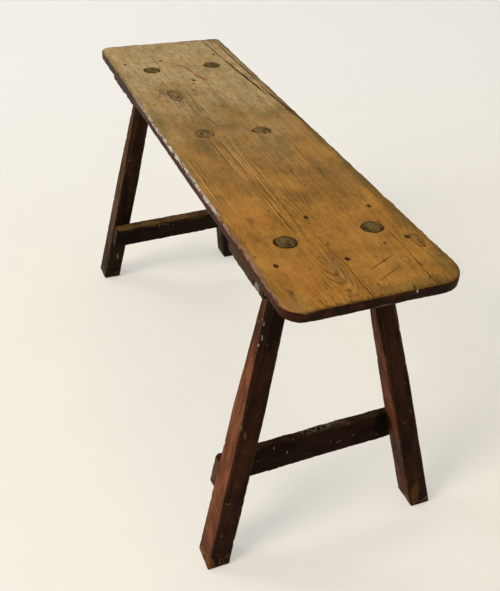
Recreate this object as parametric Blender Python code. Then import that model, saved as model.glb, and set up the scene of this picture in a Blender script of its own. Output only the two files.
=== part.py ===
"""Kitchen bench: a plank seat on two cleats, four raked legs and two lapped stretchers.

Lengths are metres, +Z is up and the floor is z = 0. The seat runs along X, and the origin is on the
floor under the middle of the seat. The near end is at +X, the far end at -X, left is -Y, right is +Y.

Each leg is square at the foot, tapers as it rises and has chamfers that start part way up and widen to
a shoulder. The shoulder bears on the underside of a cleat. A round tenon goes on from it, along a
raked line of its own, through the cleat and the seat. The stretchers lie against the inner faces of
the legs and are nailed to them.
"""

import math
from dataclasses import dataclass

import bmesh
import bpy
from mathutils import Matrix, Vector

# Seat board
SEAT_LENGTH = 0.915
SEAT_WIDTH = 0.250
SEAT_TOP_HEIGHT = 0.501
SEAT_THICKNESS = 0.0165
SEAT_TOP_EASE = 0.003
SEAT_UNDER_EASE = 0.0015
NEAR_LEFT_CORNER_RADIUS = 0.029
NEAR_RIGHT_CORNER_RADIUS = 0.037
FAR_LEFT_CORNER_RADIUS = 0.022
FAR_RIGHT_CORNER_RADIUS = 0.013

# Round plugs that fill two old holes near the middle of the seat
LEFT_PLUG_DIAMETER = 0.031
LEFT_PLUG_FROM_MIDDLE = 0.0245
LEFT_PLUG_FROM_EDGE = 0.0690
RIGHT_PLUG_DIAMETER = 0.028
RIGHT_PLUG_FROM_MIDDLE = 0.0120
RIGHT_PLUG_FROM_EDGE = 0.0855

# Cleats under the seat
CLEAT_THICKNESS = 0.0162
NEAR_CLEAT_BREADTH = 0.126
NEAR_CLEAT_END_INSET = 0.0015
FAR_CLEAT_BREADTH = 0.146
FAR_CLEAT_END_INSET = 0.0055
FAR_CLEAT_SHIFT = 0.015
CLEAT_CORNER_RADIUS = 0.008
CLEAT_EASE = 0.0015

# Legs: depth is measured along the bench, width across it
LEG_FOOT_DEPTH = 0.0435
LEG_FOOT_WIDTH = 0.0352
LEG_SHOULDER_DEPTH = 0.0303
LEG_SHOULDER_WIDTH = 0.0336
LEG_ARRIS = 0.0016
LEG_CHAMFER = 0.0105
LEG_CHAMFER_START = 0.262
SOLE_EASE = 0.0022
TENON_DIAMETER = 0.0290
TENON_PROUD = 0.0015
TENON_EASE = 0.0008
TENON_ROOT = 0.002
TENON_CLEARANCE = 0.0005

# Where the legs stand, where their axes meet the top of the seat and where their tenons come out there
NEAR_FOOT_INSET = 0.063
NEAR_FOOT_SPREAD = 0.358
NEAR_HEAD_INSET = 0.1425
NEAR_HEAD_SPREAD = 0.1185
NEAR_TENON_INSET = 0.1445
NEAR_TENON_SPREAD = 0.1265
FAR_FOOT_INSET = 0.0547
FAR_FOOT_SPREAD = 0.289
FAR_HEAD_INSET = 0.1393
FAR_HEAD_SPREAD = 0.1264
FAR_TENON_INSET = 0.1440
FAR_TENON_SPREAD = 0.1170

# Stretchers
NEAR_STRETCHER_HEIGHT = 0.1165
NEAR_STRETCHER_DEPTH = 0.049
NEAR_STRETCHER_THICKNESS = 0.0164
NEAR_STRETCHER_RISE = 0.007
NEAR_STRETCHER_OVERHANG = 0.0012
FAR_STRETCHER_HEIGHT = 0.111
FAR_STRETCHER_DEPTH = 0.045
FAR_STRETCHER_THICKNESS = 0.0203
FAR_STRETCHER_RISE = 0.011
FAR_STRETCHER_OVERHANG = 0.0012
STRETCHER_HIDDEN_OVERHANG = 0.001
STRETCHER_UPPER_RADIUS = 0.006
STRETCHER_LOWER_RADIUS = 0.003
STRETCHER_EASE = 0.0018

# Nails
NAIL_HEAD_DIAMETER = 0.0058
NAIL_HEAD_THICKNESS = 0.0014
NAIL_SHANK_DIAMETER = 0.0030
NAIL_TIP_DIAMETER = 0.0014
NAIL_SUNK = 0.0004
NAIL_COVER = 0.004
NAIL_BITE = 0.018

# Fits and cutting
FIT_GAP = 0.0003
OVERRUN = 0.010

# Counts of sides and steps
ROUND_SIDES = 32
NAIL_SIDES = 8
CORNER_STEPS = 6
EASE_STEPS = 3
SMOOTH_ANGLE = math.radians(35)

# Nail places, as shares of half the cleat's breadth, outwards, and of half the seat's width
NEAR_CLEAT_NAIL_SHARES = ((0.65, -0.78), (-0.87, -0.09), (0.85, -0.04), (-0.91, 0.7), (0.47, 0.77))
FAR_CLEAT_NAIL_SHARES = ((0.63, -0.8), (0.69, -0.23), (0.83, 0.66), (-0.84, 0.01))
# Nail places at each joint of a stretcher, as shares of half the leg's width and of the stretcher depth
STRETCHER_NAIL_SHARES = ((-0.30, 0.26), (0.30, 0.72))

# Heights that follow from the sizes above
SEAT_UNDERSIDE = SEAT_TOP_HEIGHT - SEAT_THICKNESS
CLEAT_TOP = SEAT_UNDERSIDE - FIT_GAP
CLEAT_UNDERSIDE = CLEAT_TOP - CLEAT_THICKNESS
SHOULDER_HEIGHT = CLEAT_UNDERSIDE - FIT_GAP
TENON_END_HEIGHT = SEAT_TOP_HEIGHT + TENON_PROUD


@dataclass(frozen=True)
class BenchEnd:
    """The sizes of one end of the bench: its pair of legs, its cleat and its stretcher."""

    name: str
    side: int
    foot_inset: float
    foot_spread: float
    head_inset: float
    head_spread: float
    tenon_inset: float
    tenon_spread: float
    cleat_breadth: float
    cleat_end_inset: float
    cleat_shift: float
    cleat_nail_shares: tuple
    stretcher_height: float
    stretcher_depth: float
    stretcher_thickness: float
    stretcher_rise: float
    stretcher_overhang: float

    def axis_x(self, height):
        """X of the leg axes at a height."""
        foot = SEAT_LENGTH / 2 - self.foot_inset
        head = SEAT_LENGTH / 2 - self.head_inset
        return self.side * between(foot, head, height / SEAT_TOP_HEIGHT)

    def axis_y(self, height):
        """Distance of the leg axes from the middle plane at a height."""
        return between(self.foot_spread / 2, self.head_spread / 2, height / SEAT_TOP_HEIGHT)

    def inner_face_x(self, height):
        """X of the plane on which the inner faces of both legs lie."""
        return self.axis_x(height) - self.side * leg_half_depth(height)

    def tenon_outlet(self, side):
        """Where the middle of a tenon comes out on the top of the seat."""
        x = self.side * (SEAT_LENGTH / 2 - self.tenon_inset)
        return Vector((x, side * self.tenon_spread / 2, SEAT_TOP_HEIGHT))

    def cleat_x(self):
        """X of the middle of the cleat."""
        return self.axis_x((CLEAT_TOP + CLEAT_UNDERSIDE) / 2) - self.side * self.cleat_shift


NEAR_END = BenchEnd(
    name="near",
    side=1,
    foot_inset=NEAR_FOOT_INSET,
    foot_spread=NEAR_FOOT_SPREAD,
    head_inset=NEAR_HEAD_INSET,
    head_spread=NEAR_HEAD_SPREAD,
    tenon_inset=NEAR_TENON_INSET,
    tenon_spread=NEAR_TENON_SPREAD,
    cleat_breadth=NEAR_CLEAT_BREADTH,
    cleat_end_inset=NEAR_CLEAT_END_INSET,
    cleat_shift=0,
    cleat_nail_shares=NEAR_CLEAT_NAIL_SHARES,
    stretcher_height=NEAR_STRETCHER_HEIGHT,
    stretcher_depth=NEAR_STRETCHER_DEPTH,
    stretcher_thickness=NEAR_STRETCHER_THICKNESS,
    stretcher_rise=NEAR_STRETCHER_RISE,
    stretcher_overhang=NEAR_STRETCHER_OVERHANG,
)
FAR_END = BenchEnd(
    name="far",
    side=-1,
    foot_inset=FAR_FOOT_INSET,
    foot_spread=FAR_FOOT_SPREAD,
    head_inset=FAR_HEAD_INSET,
    head_spread=FAR_HEAD_SPREAD,
    tenon_inset=FAR_TENON_INSET,
    tenon_spread=FAR_TENON_SPREAD,
    cleat_breadth=FAR_CLEAT_BREADTH,
    cleat_end_inset=FAR_CLEAT_END_INSET,
    cleat_shift=FAR_CLEAT_SHIFT,
    cleat_nail_shares=FAR_CLEAT_NAIL_SHARES,
    stretcher_height=FAR_STRETCHER_HEIGHT,
    stretcher_depth=FAR_STRETCHER_DEPTH,
    stretcher_thickness=FAR_STRETCHER_THICKNESS,
    stretcher_rise=FAR_STRETCHER_RISE,
    stretcher_overhang=FAR_STRETCHER_OVERHANG,
)
ENDS = (NEAR_END, FAR_END)
SIDES = (("left", -1), ("right", 1))


def between(first, last, share):
    """The value at a share of the way from first to last."""
    return first + (last - first) * share


def leg_half_depth(height):
    """Half the size of a leg along the bench at a height."""
    return between(LEG_FOOT_DEPTH, LEG_SHOULDER_DEPTH, height / SHOULDER_HEIGHT) / 2


def leg_half_width(height):
    """Half the size of a leg across the bench at a height."""
    return between(LEG_FOOT_WIDTH, LEG_SHOULDER_WIDTH, height / SHOULDER_HEIGHT) / 2


def clear_scene():
    """Removes every object that the scene starts with."""
    for obj in list(bpy.data.objects):
        bpy.data.objects.remove(obj, do_unlink=True)


def finish(name, colour, roughness):
    """A plain wood or paint material."""
    made = bpy.data.materials.new(name)
    made.use_nodes = True
    shader = made.node_tree.nodes["Principled BSDF"]
    shader.inputs["Base Color"].default_value = (*colour, 1)
    shader.inputs["Roughness"].default_value = roughness
    shader.inputs["Metallic"].default_value = 0
    made.diffuse_color = (*colour, 1)
    return made


def iron(name):
    """The dark rusty iron of a nail."""
    made = finish(name, (0.045, 0.032, 0.026), 0.7)
    made.node_tree.nodes["Principled BSDF"].inputs["Metallic"].default_value = 0.6
    return made


def mesh_from(name, form):
    """A smooth-shaded mesh, with sharp arrises, from a bmesh, which is freed."""
    bmesh.ops.recalc_face_normals(form, faces=form.faces)
    mesh = bpy.data.meshes.new(name)
    form.to_mesh(mesh)
    form.free()
    mesh.shade_smooth()
    mesh.set_sharp_from_angle(angle=SMOOTH_ANGLE)
    return mesh


def add_piece(name, mesh, material, parent=None):
    """A piece of the bench, with its own material."""
    obj = bpy.data.objects.new(name, mesh)
    mesh.materials.append(material)
    obj.parent = parent
    bpy.context.scene.collection.objects.link(obj)
    return obj


def add_cutter(name, mesh, parent=None):
    """A shape that only cuts or joins others."""
    obj = bpy.data.objects.new(name, mesh)
    obj.parent = parent
    obj.display_type = "WIRE"
    obj.hide_render = True
    bpy.context.scene.collection.objects.link(obj)
    return obj


def even_shading(obj):
    """Keeps the flat faces flat to the eye, beside their rounded arrises."""
    obj.modifiers.new("even_shading", "WEIGHTED_NORMAL").keep_sharp = True


def combine(obj, other, operation):
    """Adds a Boolean of another object to this one."""
    modifier = obj.modifiers.new(other.name, "BOOLEAN")
    modifier.operation = operation
    modifier.solver = "EXACT"
    modifier.object = other


def loft(rings):
    """A closed form through rings of as many points each, listed upwards."""
    form = bmesh.new()
    rows = [[form.verts.new(point) for point in ring] for ring in rings]
    for low, high in zip(rows, rows[1:]):
        for i in range(len(low)):
            form.faces.new((low[i - 1], low[i], high[i], high[i - 1]))
    form.faces.new(reversed(rows[0]))
    form.faces.new(rows[-1])
    return form


def filleted(corners, radii):
    """The outline of a convex shape, anticlockwise, with an arc of its own radius at each corner."""
    outline = []
    for i, radius in enumerate(radii):
        corner = Vector(corners[i])
        back = (Vector(corners[i - 1]) - corner).normalized()
        ahead = (Vector(corners[(i + 1) % len(corners)]) - corner).normalized()
        half_angle = back.angle(ahead) / 2
        centre = corner + (back + ahead).normalized() * radius / math.sin(half_angle)
        spoke = corner + back * radius / math.tan(half_angle) - centre
        turn = math.pi - 2 * half_angle
        for step in range(CORNER_STEPS + 1):
            outline.append(centre + Matrix.Rotation(turn * step / CORNER_STEPS, 2) @ spoke)
    return outline


def rim(form, level):
    """The edges of a slab that lie at a level."""
    return [e for e in form.edges if all(abs(v.co.z - level) < FIT_GAP / 2 for v in e.verts)]


def slab(outline, low, high, low_ease, high_ease):
    """A board of an outline in XY, from low to high along Z, with rounded arrises."""
    form = loft([[(*point, level) for point in outline] for level in (low, high)])
    for level, ease in ((low, low_ease), (high, high_ease)):
        bmesh.ops.bevel(
            form,
            geom=rim(form, level),
            offset=ease,
            segments=EASE_STEPS,
            profile=0.5,
            affect="EDGES",
            clamp_overlap=True,
        )
    return form


def round_ring(centre, radius, sides, rake=(0, 0)):
    """A ring of the rod that runs through centre along (rake, 1), cut level at the centre's height."""
    across = Vector(rake)
    slope = across.length
    ring = []
    for i in range(sides):
        spoke = Vector((math.cos(2 * math.pi * i / sides), math.sin(2 * math.pi * i / sides)))
        if slope:
            along = across.normalized()
            stretch = math.hypot(1, slope) - 1
            spoke += along * spoke.dot(along) * stretch
        ring.append((centre[0] + radius * spoke.x, centre[1] + radius * spoke.y, centre[2]))
    return ring


def octagon(centre, half_depth, half_width, chamfer):
    """A level section of a leg: a rectangle with its four corners cut off."""
    x, y, z = centre
    inner_depth = half_depth - chamfer
    inner_width = half_width - chamfer
    corners = (
        (half_depth, -inner_width),
        (half_depth, inner_width),
        (inner_depth, half_width),
        (-inner_depth, half_width),
        (-half_depth, inner_width),
        (-half_depth, -inner_width),
        (-inner_depth, -half_width),
        (inner_depth, -half_width),
    )
    return [(x + dx, y + dy, z) for dx, dy in corners]


def build_seat():
    """The plank seat, with its origin at the middle of its top face."""
    x = SEAT_LENGTH / 2
    y = SEAT_WIDTH / 2
    corners = ((x, y), (-x, y), (-x, -y), (x, -y))
    radii = (
        NEAR_RIGHT_CORNER_RADIUS,
        FAR_RIGHT_CORNER_RADIUS,
        FAR_LEFT_CORNER_RADIUS,
        NEAR_LEFT_CORNER_RADIUS,
    )
    form = slab(filleted(corners, radii), -SEAT_THICKNESS, 0, SEAT_UNDER_EASE, SEAT_TOP_EASE)
    wood = finish("worn_pine", (0.30, 0.155, 0.05), 0.55)
    seat = add_piece("seat_plank", mesh_from("seat_plank", form), wood)
    seat.location.z = SEAT_TOP_HEIGHT
    return seat


def build_plug(name, seat, diameter, place):
    """A round plug through the seat, flush with both faces."""
    radius = diameter / 2

    def rod(low, high, radius):
        return loft([round_ring((0, 0, level), radius, ROUND_SIDES) for level in (low, high)])

    wood = finish(name, (0.16, 0.10, 0.045), 0.65)
    plug = add_piece(name, mesh_from(name, rod(-SEAT_THICKNESS, 0, radius)), wood, seat)
    hole = rod(-SEAT_THICKNESS - OVERRUN, OVERRUN, radius + FIT_GAP)
    cutter = add_cutter(name + "_hole", mesh_from(name + "_hole", hole), seat)
    for obj in (plug, cutter):
        obj.location.xy = place
    combine(seat, cutter, "DIFFERENCE")


def build_cleat(end):
    """A cleat across the underside of the seat, with its origin at the middle of its top face."""
    x = end.cleat_breadth / 2
    y = SEAT_WIDTH / 2 - end.cleat_end_inset
    corners = ((x, y), (-x, y), (-x, -y), (x, -y))
    radii = (CLEAT_CORNER_RADIUS,) * len(corners)
    form = slab(filleted(corners, radii), -CLEAT_THICKNESS, 0, CLEAT_EASE, CLEAT_EASE)
    name = end.name + "_cleat"
    wood = finish(name, (0.085, 0.052, 0.035), 0.7)
    cleat = add_piece(name, mesh_from(name, form), wood)
    cleat.location = (end.cleat_x(), 0, CLEAT_TOP)
    return cleat


def raked_rod(root, outlet, low, high, radius, ease):
    """A rod along the line through two points, between two heights, its top arris eased."""
    rake = ((outlet - root) / (outlet.z - root.z)).xy

    def ring(height, radius):
        centre = root.lerp(outlet, (height - root.z) / (outlet.z - root.z))
        return round_ring(centre, radius, ROUND_SIDES, rake)

    rings = [ring(low, radius), ring(high - ease, radius)]
    if ease:
        rings.append(ring(high, radius - ease))
    return loft(rings)


def build_leg(end, side_name, side, seat, cleat):
    """A leg with its tenon, and the raked mortise for it in the cleat and the seat.

    The origin of the leg is the middle of its sole.
    """
    foot = Vector((end.axis_x(0), side * end.axis_y(0), 0))

    def axis(height):
        return Vector((end.axis_x(height), side * end.axis_y(height), height)) - foot

    sections = (
        (0, SOLE_EASE, LEG_ARRIS),
        (SOLE_EASE, 0, LEG_ARRIS),
        (LEG_CHAMFER_START, 0, LEG_ARRIS),
        (SHOULDER_HEIGHT, 0, LEG_CHAMFER),
    )
    body = loft(
        octagon(axis(z), leg_half_depth(z) - inset, leg_half_width(z) - inset, chamfer)
        for z, inset, chamfer in sections
    )
    name = end.name + "_" + side_name + "_leg"
    paint = finish(name, (0.095, 0.035, 0.022), 0.5)
    leg = add_piece(name, mesh_from(name, body), paint)

    root = axis(SHOULDER_HEIGHT)
    outlet = end.tenon_outlet(side) - foot
    radius = TENON_DIAMETER / 2
    low, high = SHOULDER_HEIGHT - TENON_ROOT, TENON_END_HEIGHT
    rod = raked_rod(root, outlet, low, high, radius, TENON_EASE)
    tenon = add_cutter(name + "_tenon", mesh_from(name + "_tenon", rod))
    low, high = CLEAT_UNDERSIDE - OVERRUN, SEAT_TOP_HEIGHT + OVERRUN
    rod = raked_rod(root, outlet, low, high, radius + TENON_CLEARANCE, 0)
    mortise = add_cutter(name + "_mortise", mesh_from(name + "_mortise", rod))
    for obj in (leg, tenon, mortise):
        obj.location = foot
    combine(leg, tenon, "UNION")
    combine(cleat, mortise, "DIFFERENCE")
    combine(seat, mortise, "DIFFERENCE")
    return leg


def nail_form(length, gap, head_top):
    """A nail along -Z from the surface at z = 0. With a gap it is the hole that the nail leaves."""
    head_under = -NAIL_SUNK - NAIL_HEAD_THICKNESS - gap
    rings = (
        (-length - gap, NAIL_TIP_DIAMETER),
        (head_under, NAIL_SHANK_DIAMETER),
        (head_under, NAIL_HEAD_DIAMETER),
        (head_top, NAIL_HEAD_DIAMETER),
    )
    return loft(round_ring((0, 0, z), diameter / 2 + gap, NAIL_SIDES) for z, diameter in rings)


def drive_nail(name, carrier, place, turn, length, holed):
    """A nail in the frame of the piece it goes in through, and its hole in each piece it goes through."""
    nail = add_piece(name, mesh_from(name, nail_form(length, 0, -NAIL_SUNK)), iron(name), carrier)
    hole = mesh_from(name + "_hole", nail_form(length, FIT_GAP, OVERRUN))
    cutter = add_cutter(name + "_hole", hole, carrier)
    for obj in (nail, cutter):
        obj.location = place
        obj.rotation_euler.y = turn
    for piece in holed:
        combine(piece, cutter, "DIFFERENCE")


def nail_cleat(end, seat, cleat):
    """The nails down through the seat into a cleat."""
    length = SEAT_THICKNESS + FIT_GAP + CLEAT_THICKNESS - NAIL_COVER
    for number, (out_share, across_share) in enumerate(end.cleat_nail_shares, start=1):
        x = end.cleat_x() + end.side * out_share * end.cleat_breadth / 2
        y = across_share * SEAT_WIDTH / 2
        drive_nail(f"{end.name}_cleat_nail_{number}", seat, (x, y, 0), 0, length, (seat, cleat))


def build_stretcher(end):
    """A stretcher against the inner faces of a pair of legs, its ends cut to the rake of the legs.

    It is drawn in its own frame: X runs across the bench, Y up the slope of the legs and Z towards +X.
    """
    start = Vector((end.inner_face_x(end.stretcher_height), 0, end.stretcher_height))
    high = Vector((end.inner_face_x(SHOULDER_HEIGHT), 0, SHOULDER_HEIGHT))
    up = (high - start).normalized()
    across = Vector((0, 1, 0))

    def corner(side, climb, overhang):
        height = end.stretcher_height + climb * up.z
        reach = end.axis_y(height) + leg_half_width(height) + overhang
        return (side * reach, climb)

    low_climb = -end.stretcher_rise / 2
    high_climb = end.stretcher_rise / 2
    corners = (
        corner(1, high_climb, STRETCHER_HIDDEN_OVERHANG),
        corner(1, high_climb + end.stretcher_depth, STRETCHER_HIDDEN_OVERHANG),
        corner(-1, low_climb + end.stretcher_depth, end.stretcher_overhang),
        corner(-1, low_climb, end.stretcher_overhang),
    )
    low_radius, high_radius = STRETCHER_LOWER_RADIUS, STRETCHER_UPPER_RADIUS
    radii = (low_radius, high_radius, high_radius, low_radius)
    faces = sorted(-end.side * depth for depth in (FIT_GAP, FIT_GAP + end.stretcher_thickness))
    form = slab(filleted(corners, radii), *faces, STRETCHER_EASE, STRETCHER_EASE)
    name = end.name + "_stretcher"
    paint = finish(name, (0.045, 0.028, 0.020), 0.6)
    stretcher = add_piece(name, mesh_from(name, form), paint)
    turn = Matrix((across, up, across.cross(up))).transposed()
    stretcher.matrix_world = Matrix.Translation(start) @ turn.to_4x4()
    return stretcher


def nail_stretcher(end, stretcher, legs):
    """The nails through a stretcher into its two legs."""
    surface = -end.side * (FIT_GAP + end.stretcher_thickness)
    length = end.stretcher_thickness + NAIL_BITE
    turn = math.pi if end.side > 0 else 0
    for (side_name, side), leg in zip(SIDES, legs):
        for number, (across_share, up_share) in enumerate(STRETCHER_NAIL_SHARES, start=1):
            climb = side * end.stretcher_rise / 2 + up_share * end.stretcher_depth
            height = end.stretcher_height + climb
            across = side * (end.axis_y(height) + across_share * leg_half_width(height))
            name = f"{end.name}_{side_name}_stretcher_nail_{number}"
            drive_nail(name, stretcher, (across, climb, surface), turn, length, (stretcher, leg))


def build_end(end, seat):
    """One end of the bench: its cleat, its two legs, its stretcher and their nails."""
    cleat = build_cleat(end)
    legs = [build_leg(end, side_name, side, seat, cleat) for side_name, side in SIDES]
    stretcher = build_stretcher(end)
    nail_cleat(end, seat, cleat)
    nail_stretcher(end, stretcher, legs)
    for piece in (cleat, stretcher, *legs):
        even_shading(piece)


def build_bench():
    """The whole bench."""
    clear_scene()
    seat = build_seat()
    left = (-LEFT_PLUG_FROM_MIDDLE, LEFT_PLUG_FROM_EDGE - SEAT_WIDTH / 2)
    right = (-RIGHT_PLUG_FROM_MIDDLE, SEAT_WIDTH / 2 - RIGHT_PLUG_FROM_EDGE)
    build_plug("left_seat_plug", seat, LEFT_PLUG_DIAMETER, left)
    build_plug("right_seat_plug", seat, RIGHT_PLUG_DIAMETER, right)
    for end in ENDS:
        build_end(end, seat)
    even_shading(seat)


build_bench()
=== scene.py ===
"""The looks of an old painted kitchen bench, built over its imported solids.

The seat runs along X with the near end at +X, left is -Y and right is +Y, and the floor is z = 0.
Lengths are metres. Every board, leg, plug and nail is a surface worked out with numpy and stands for
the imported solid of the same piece.
"""

import logging
import math
from collections.abc import Mapping, Sequence
from dataclasses import dataclass, field
from enum import Enum

import bmesh
import bpy
import numpy as np
from mathutils import Matrix, Vector

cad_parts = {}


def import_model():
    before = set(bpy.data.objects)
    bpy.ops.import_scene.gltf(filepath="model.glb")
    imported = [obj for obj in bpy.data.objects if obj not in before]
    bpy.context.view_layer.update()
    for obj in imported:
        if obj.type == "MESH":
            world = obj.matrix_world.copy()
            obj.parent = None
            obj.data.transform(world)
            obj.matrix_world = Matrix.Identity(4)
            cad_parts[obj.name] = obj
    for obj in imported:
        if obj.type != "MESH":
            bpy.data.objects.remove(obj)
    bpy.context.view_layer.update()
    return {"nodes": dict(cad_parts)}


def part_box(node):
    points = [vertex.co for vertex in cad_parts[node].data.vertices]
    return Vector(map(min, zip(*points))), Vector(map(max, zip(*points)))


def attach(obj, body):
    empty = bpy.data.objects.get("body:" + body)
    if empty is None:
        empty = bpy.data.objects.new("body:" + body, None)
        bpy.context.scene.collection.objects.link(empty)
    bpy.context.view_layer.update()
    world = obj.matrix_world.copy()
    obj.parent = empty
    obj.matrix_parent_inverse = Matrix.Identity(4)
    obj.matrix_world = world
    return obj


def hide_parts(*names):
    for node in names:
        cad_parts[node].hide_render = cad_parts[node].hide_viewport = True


LOG = logging.getLogger("kitchen_bench")
MM = 0.001

Colour = tuple[float, float, float, float]
Array = np.ndarray
Tree = bpy.types.NodeTree
Mesh = bpy.types.Mesh
Material = bpy.types.Material


class Side(Enum):
    """The two long sides of the bench."""

    LEFT = -1
    RIGHT = 1


class End(Enum):
    """The two ends of the bench."""

    FAR = -1
    NEAR = 1


def shade(red: float, green: float, blue: float) -> Colour:
    """A colour in linear light.

    Args:
        red: Red as a picture shows it, 0 to 255.
        green: Green, likewise.
        blue: Blue, likewise.

    Returns:
        The linear colour, with full alpha.
    """
    shown = np.array([red, green, blue]) / 255
    linear = np.where(shown <= 0.04045, shown / 12.92, ((shown + 0.055) / 1.055) ** 2.4)
    return (*(float(part) for part in linear), 1.0)


def ease_between(value: Array, low: float, high: float) -> Array:
    """A smooth step: 3 t squared less 2 t cubed, with t the share of the way from low to high."""
    share = np.clip((value - low) / (high - low), 0, 1)
    return share * share * (3 - 2 * share)


def ripple(points: Array, wavelengths: float | Sequence[float], seed: int) -> Array:
    """Smooth unevenness in space: ten sine waves whose directions, lengths and phases are drawn.

    Args:
        points: Places, one in each row.
        wavelengths: The usual length of a wave, or one for each axis.
        seed: The seed of the draw.

    Returns:
        A value for each place, mostly between -1 and 1.
    """
    waves = 10
    draw = np.random.default_rng(seed)
    directions = draw.normal(size=(points.shape[1], waves))
    directions *= draw.uniform(0.6, 1.7, waves) / np.linalg.norm(directions, axis=0)
    phases = draw.uniform(0, 2 * math.pi, waves)
    turns = 2 * math.pi * (points / np.asarray(wavelengths)) @ directions
    return np.sin(turns + phases).sum(axis=1) / math.sqrt(2 * waves)


def circle(count: int) -> Array:
    """Places round a circle of radius 1, one in each row, anticlockwise from X."""
    angle = np.linspace(0, 2 * math.pi, count + 1)[:-1]
    return np.stack([np.cos(angle), np.sin(angle)], axis=-1)


def raised(plan: Array, heights: Array) -> Array:
    """Level rings by points by three, from rings by points by two and a height for each ring."""
    return np.concatenate([plan, np.broadcast_to(heights[:, None, None], (*plan.shape[:2], 1))], axis=-1)


# Meshes


def outward(mesh: Mesh) -> Mesh:
    """Turns every face of a closed mesh outwards.

    Args:
        mesh: The mesh.

    Returns:
        The same mesh.
    """
    form = bmesh.new()
    form.from_mesh(mesh)
    bmesh.ops.recalc_face_normals(form, faces=form.faces)
    form.to_mesh(mesh)
    form.free()
    return mesh


def smoothed(mesh: Mesh, sharp_angle: float) -> Mesh:
    """Shades a mesh smooth between its sharp edges.

    Args:
        mesh: The mesh.
        sharp_angle: The angle in degrees over which an edge stays sharp.

    Returns:
        The same mesh.
    """
    mesh.shade_smooth()
    mesh.set_sharp_from_angle(angle=math.radians(sharp_angle))
    return mesh


@dataclass
class Shell:
    """A closed surface: its points, its faces and the values that its material reads at each point."""

    points: Array
    quads: Array
    fans: Array = field(default_factory=lambda: np.zeros((0, 3), int))
    timber: Array | None = None
    arris: Array | None = None
    second: Array | None = None

    def moved(self, matrix: Matrix) -> "Shell":
        """The same shell with its points carried by a matrix.

        Args:
            matrix: A 4 by 4 matrix.

        Returns:
            The shell itself.
        """
        turn = np.array(matrix)
        self.points = self.points @ turn[:3, :3].T + turn[:3, 3]
        return self

    def mesh(self, name: str, sharp_angle: float = 40) -> Mesh:
        """The shell as a Blender mesh. Faces whose points are all second take the second material.

        Args:
            name: The name of the mesh.
            sharp_angle: The angle in degrees over which an edge stays sharp.

        Returns:
            The mesh.
        """
        made = bpy.data.meshes.new(name)
        made.from_pydata(self.points.tolist(), [], self.quads.tolist() + self.fans.tolist())
        facing = None
        if self.arris is not None:
            facing = np.empty(3 * len(self.points), np.float32)
            made.vertex_normals.foreach_get("vector", facing)
        for label, kind, key, values in (
            ("timber", "FLOAT_VECTOR", "vector", self.timber),
            ("arris", "FLOAT", "value", self.arris),
            ("facing", "FLOAT_VECTOR", "vector", facing),
        ):
            if values is not None:
                data = made.attributes.new(label, kind, "POINT").data
                data.foreach_set(key, values.astype(np.float32).ravel())
        if self.second is not None:
            faces = [self.second[corners].all(axis=1) for corners in (self.quads, self.fans)]
            made.polygons.foreach_set("material_index", np.concatenate(faces).astype(np.int32))
        return smoothed(made, sharp_angle)


def lattice(xs: Array, ys: Array, zs: Array) -> Shell:
    """The closed skin of a block, with a point wherever the given planes cross on it.

    Args:
        xs: Where the planes across X stand.
        ys: Where the planes across Y stand.
        zs: Where the planes across Z stand.

    Returns:
        The skin, with its faces outward.
    """
    counts = (len(xs) - 1, len(ys) - 1, len(zs) - 1)
    corner = ((0, 0), (1, 0), (1, 1), (0, 1))
    sides = []
    for axis, (first, other) in enumerate(((1, 2), (2, 0), (0, 1))):
        along, over = np.meshgrid(np.arange(counts[first]), np.arange(counts[other]), indexing="ij")
        for end in (0, counts[axis]):
            quad = np.zeros((along.size, 4, 3), int)
            for place, (step, rise) in enumerate(corner if end else corner[::-1]):
                quad[:, place, first] = along.ravel() + step
                quad[:, place, other] = over.ravel() + rise
                quad[:, place, axis] = end
            sides.append(quad)
    keys, index = np.unique(np.concatenate(sides).reshape(-1, 3), axis=0, return_inverse=True)
    points = np.stack([xs[keys[:, 0]], ys[keys[:, 1]], zs[keys[:, 2]]], axis=1)
    return Shell(points, index.reshape(-1, 4))


def tapered_steps(half: float, margin: float, coarse: int) -> Array:
    """Places from -half to half, with seven steps in each end margin.

    Args:
        half: Half the length.
        margin: The length of each end stretch.
        coarse: Steps between the end stretches.

    Returns:
        The places in order.
    """
    inner = half - margin
    low, high = np.linspace(-half, -inner, 8), np.linspace(inner, half, 8)
    return np.unique(np.concatenate([low, np.linspace(-inner, inner, coarse + 1), high]).round(9))


def closed_loft(rings: Array) -> Shell:
    """A closed surface through rings of as many points each, with a pole in the middle of each end.

    Args:
        rings: Rings by points by three, anticlockwise from above and listed upwards.

    Returns:
        The surface. The poles are its last two points.
    """
    count, sides = rings.shape[:2]
    place = np.arange(count * sides).reshape(count, sides)
    ahead = np.roll(place, -1, axis=1)
    quads = np.stack([place[:-1], ahead[:-1], ahead[1:], place[1:]], axis=-1).reshape(-1, 4)
    low, high = count * sides, count * sides + 1
    below = np.stack([np.full(sides, low), ahead[0], place[0]], axis=-1)
    above = np.stack([np.full(sides, high), place[-1], ahead[-1]], axis=-1)
    points = np.concatenate([rings.reshape(-1, 3), rings[0].mean(0)[None], rings[-1].mean(0)[None]])
    return Shell(points, quads, np.concatenate([below, above]))


def joined(name: str, shells: Sequence[Shell]) -> Mesh:
    """Several closed shells as one mesh.

    Args:
        name: The name of the mesh.
        shells: The shells.

    Returns:
        The mesh.
    """
    faces: list[list[int]] = []
    start = 0
    for shell in shells:
        faces += (shell.quads + start).tolist() + (shell.fans + start).tolist()
        start += len(shell.points)
    made = bpy.data.meshes.new(name)
    made.from_pydata(np.concatenate([shell.points for shell in shells]).tolist(), [], faces)
    return made


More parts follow.
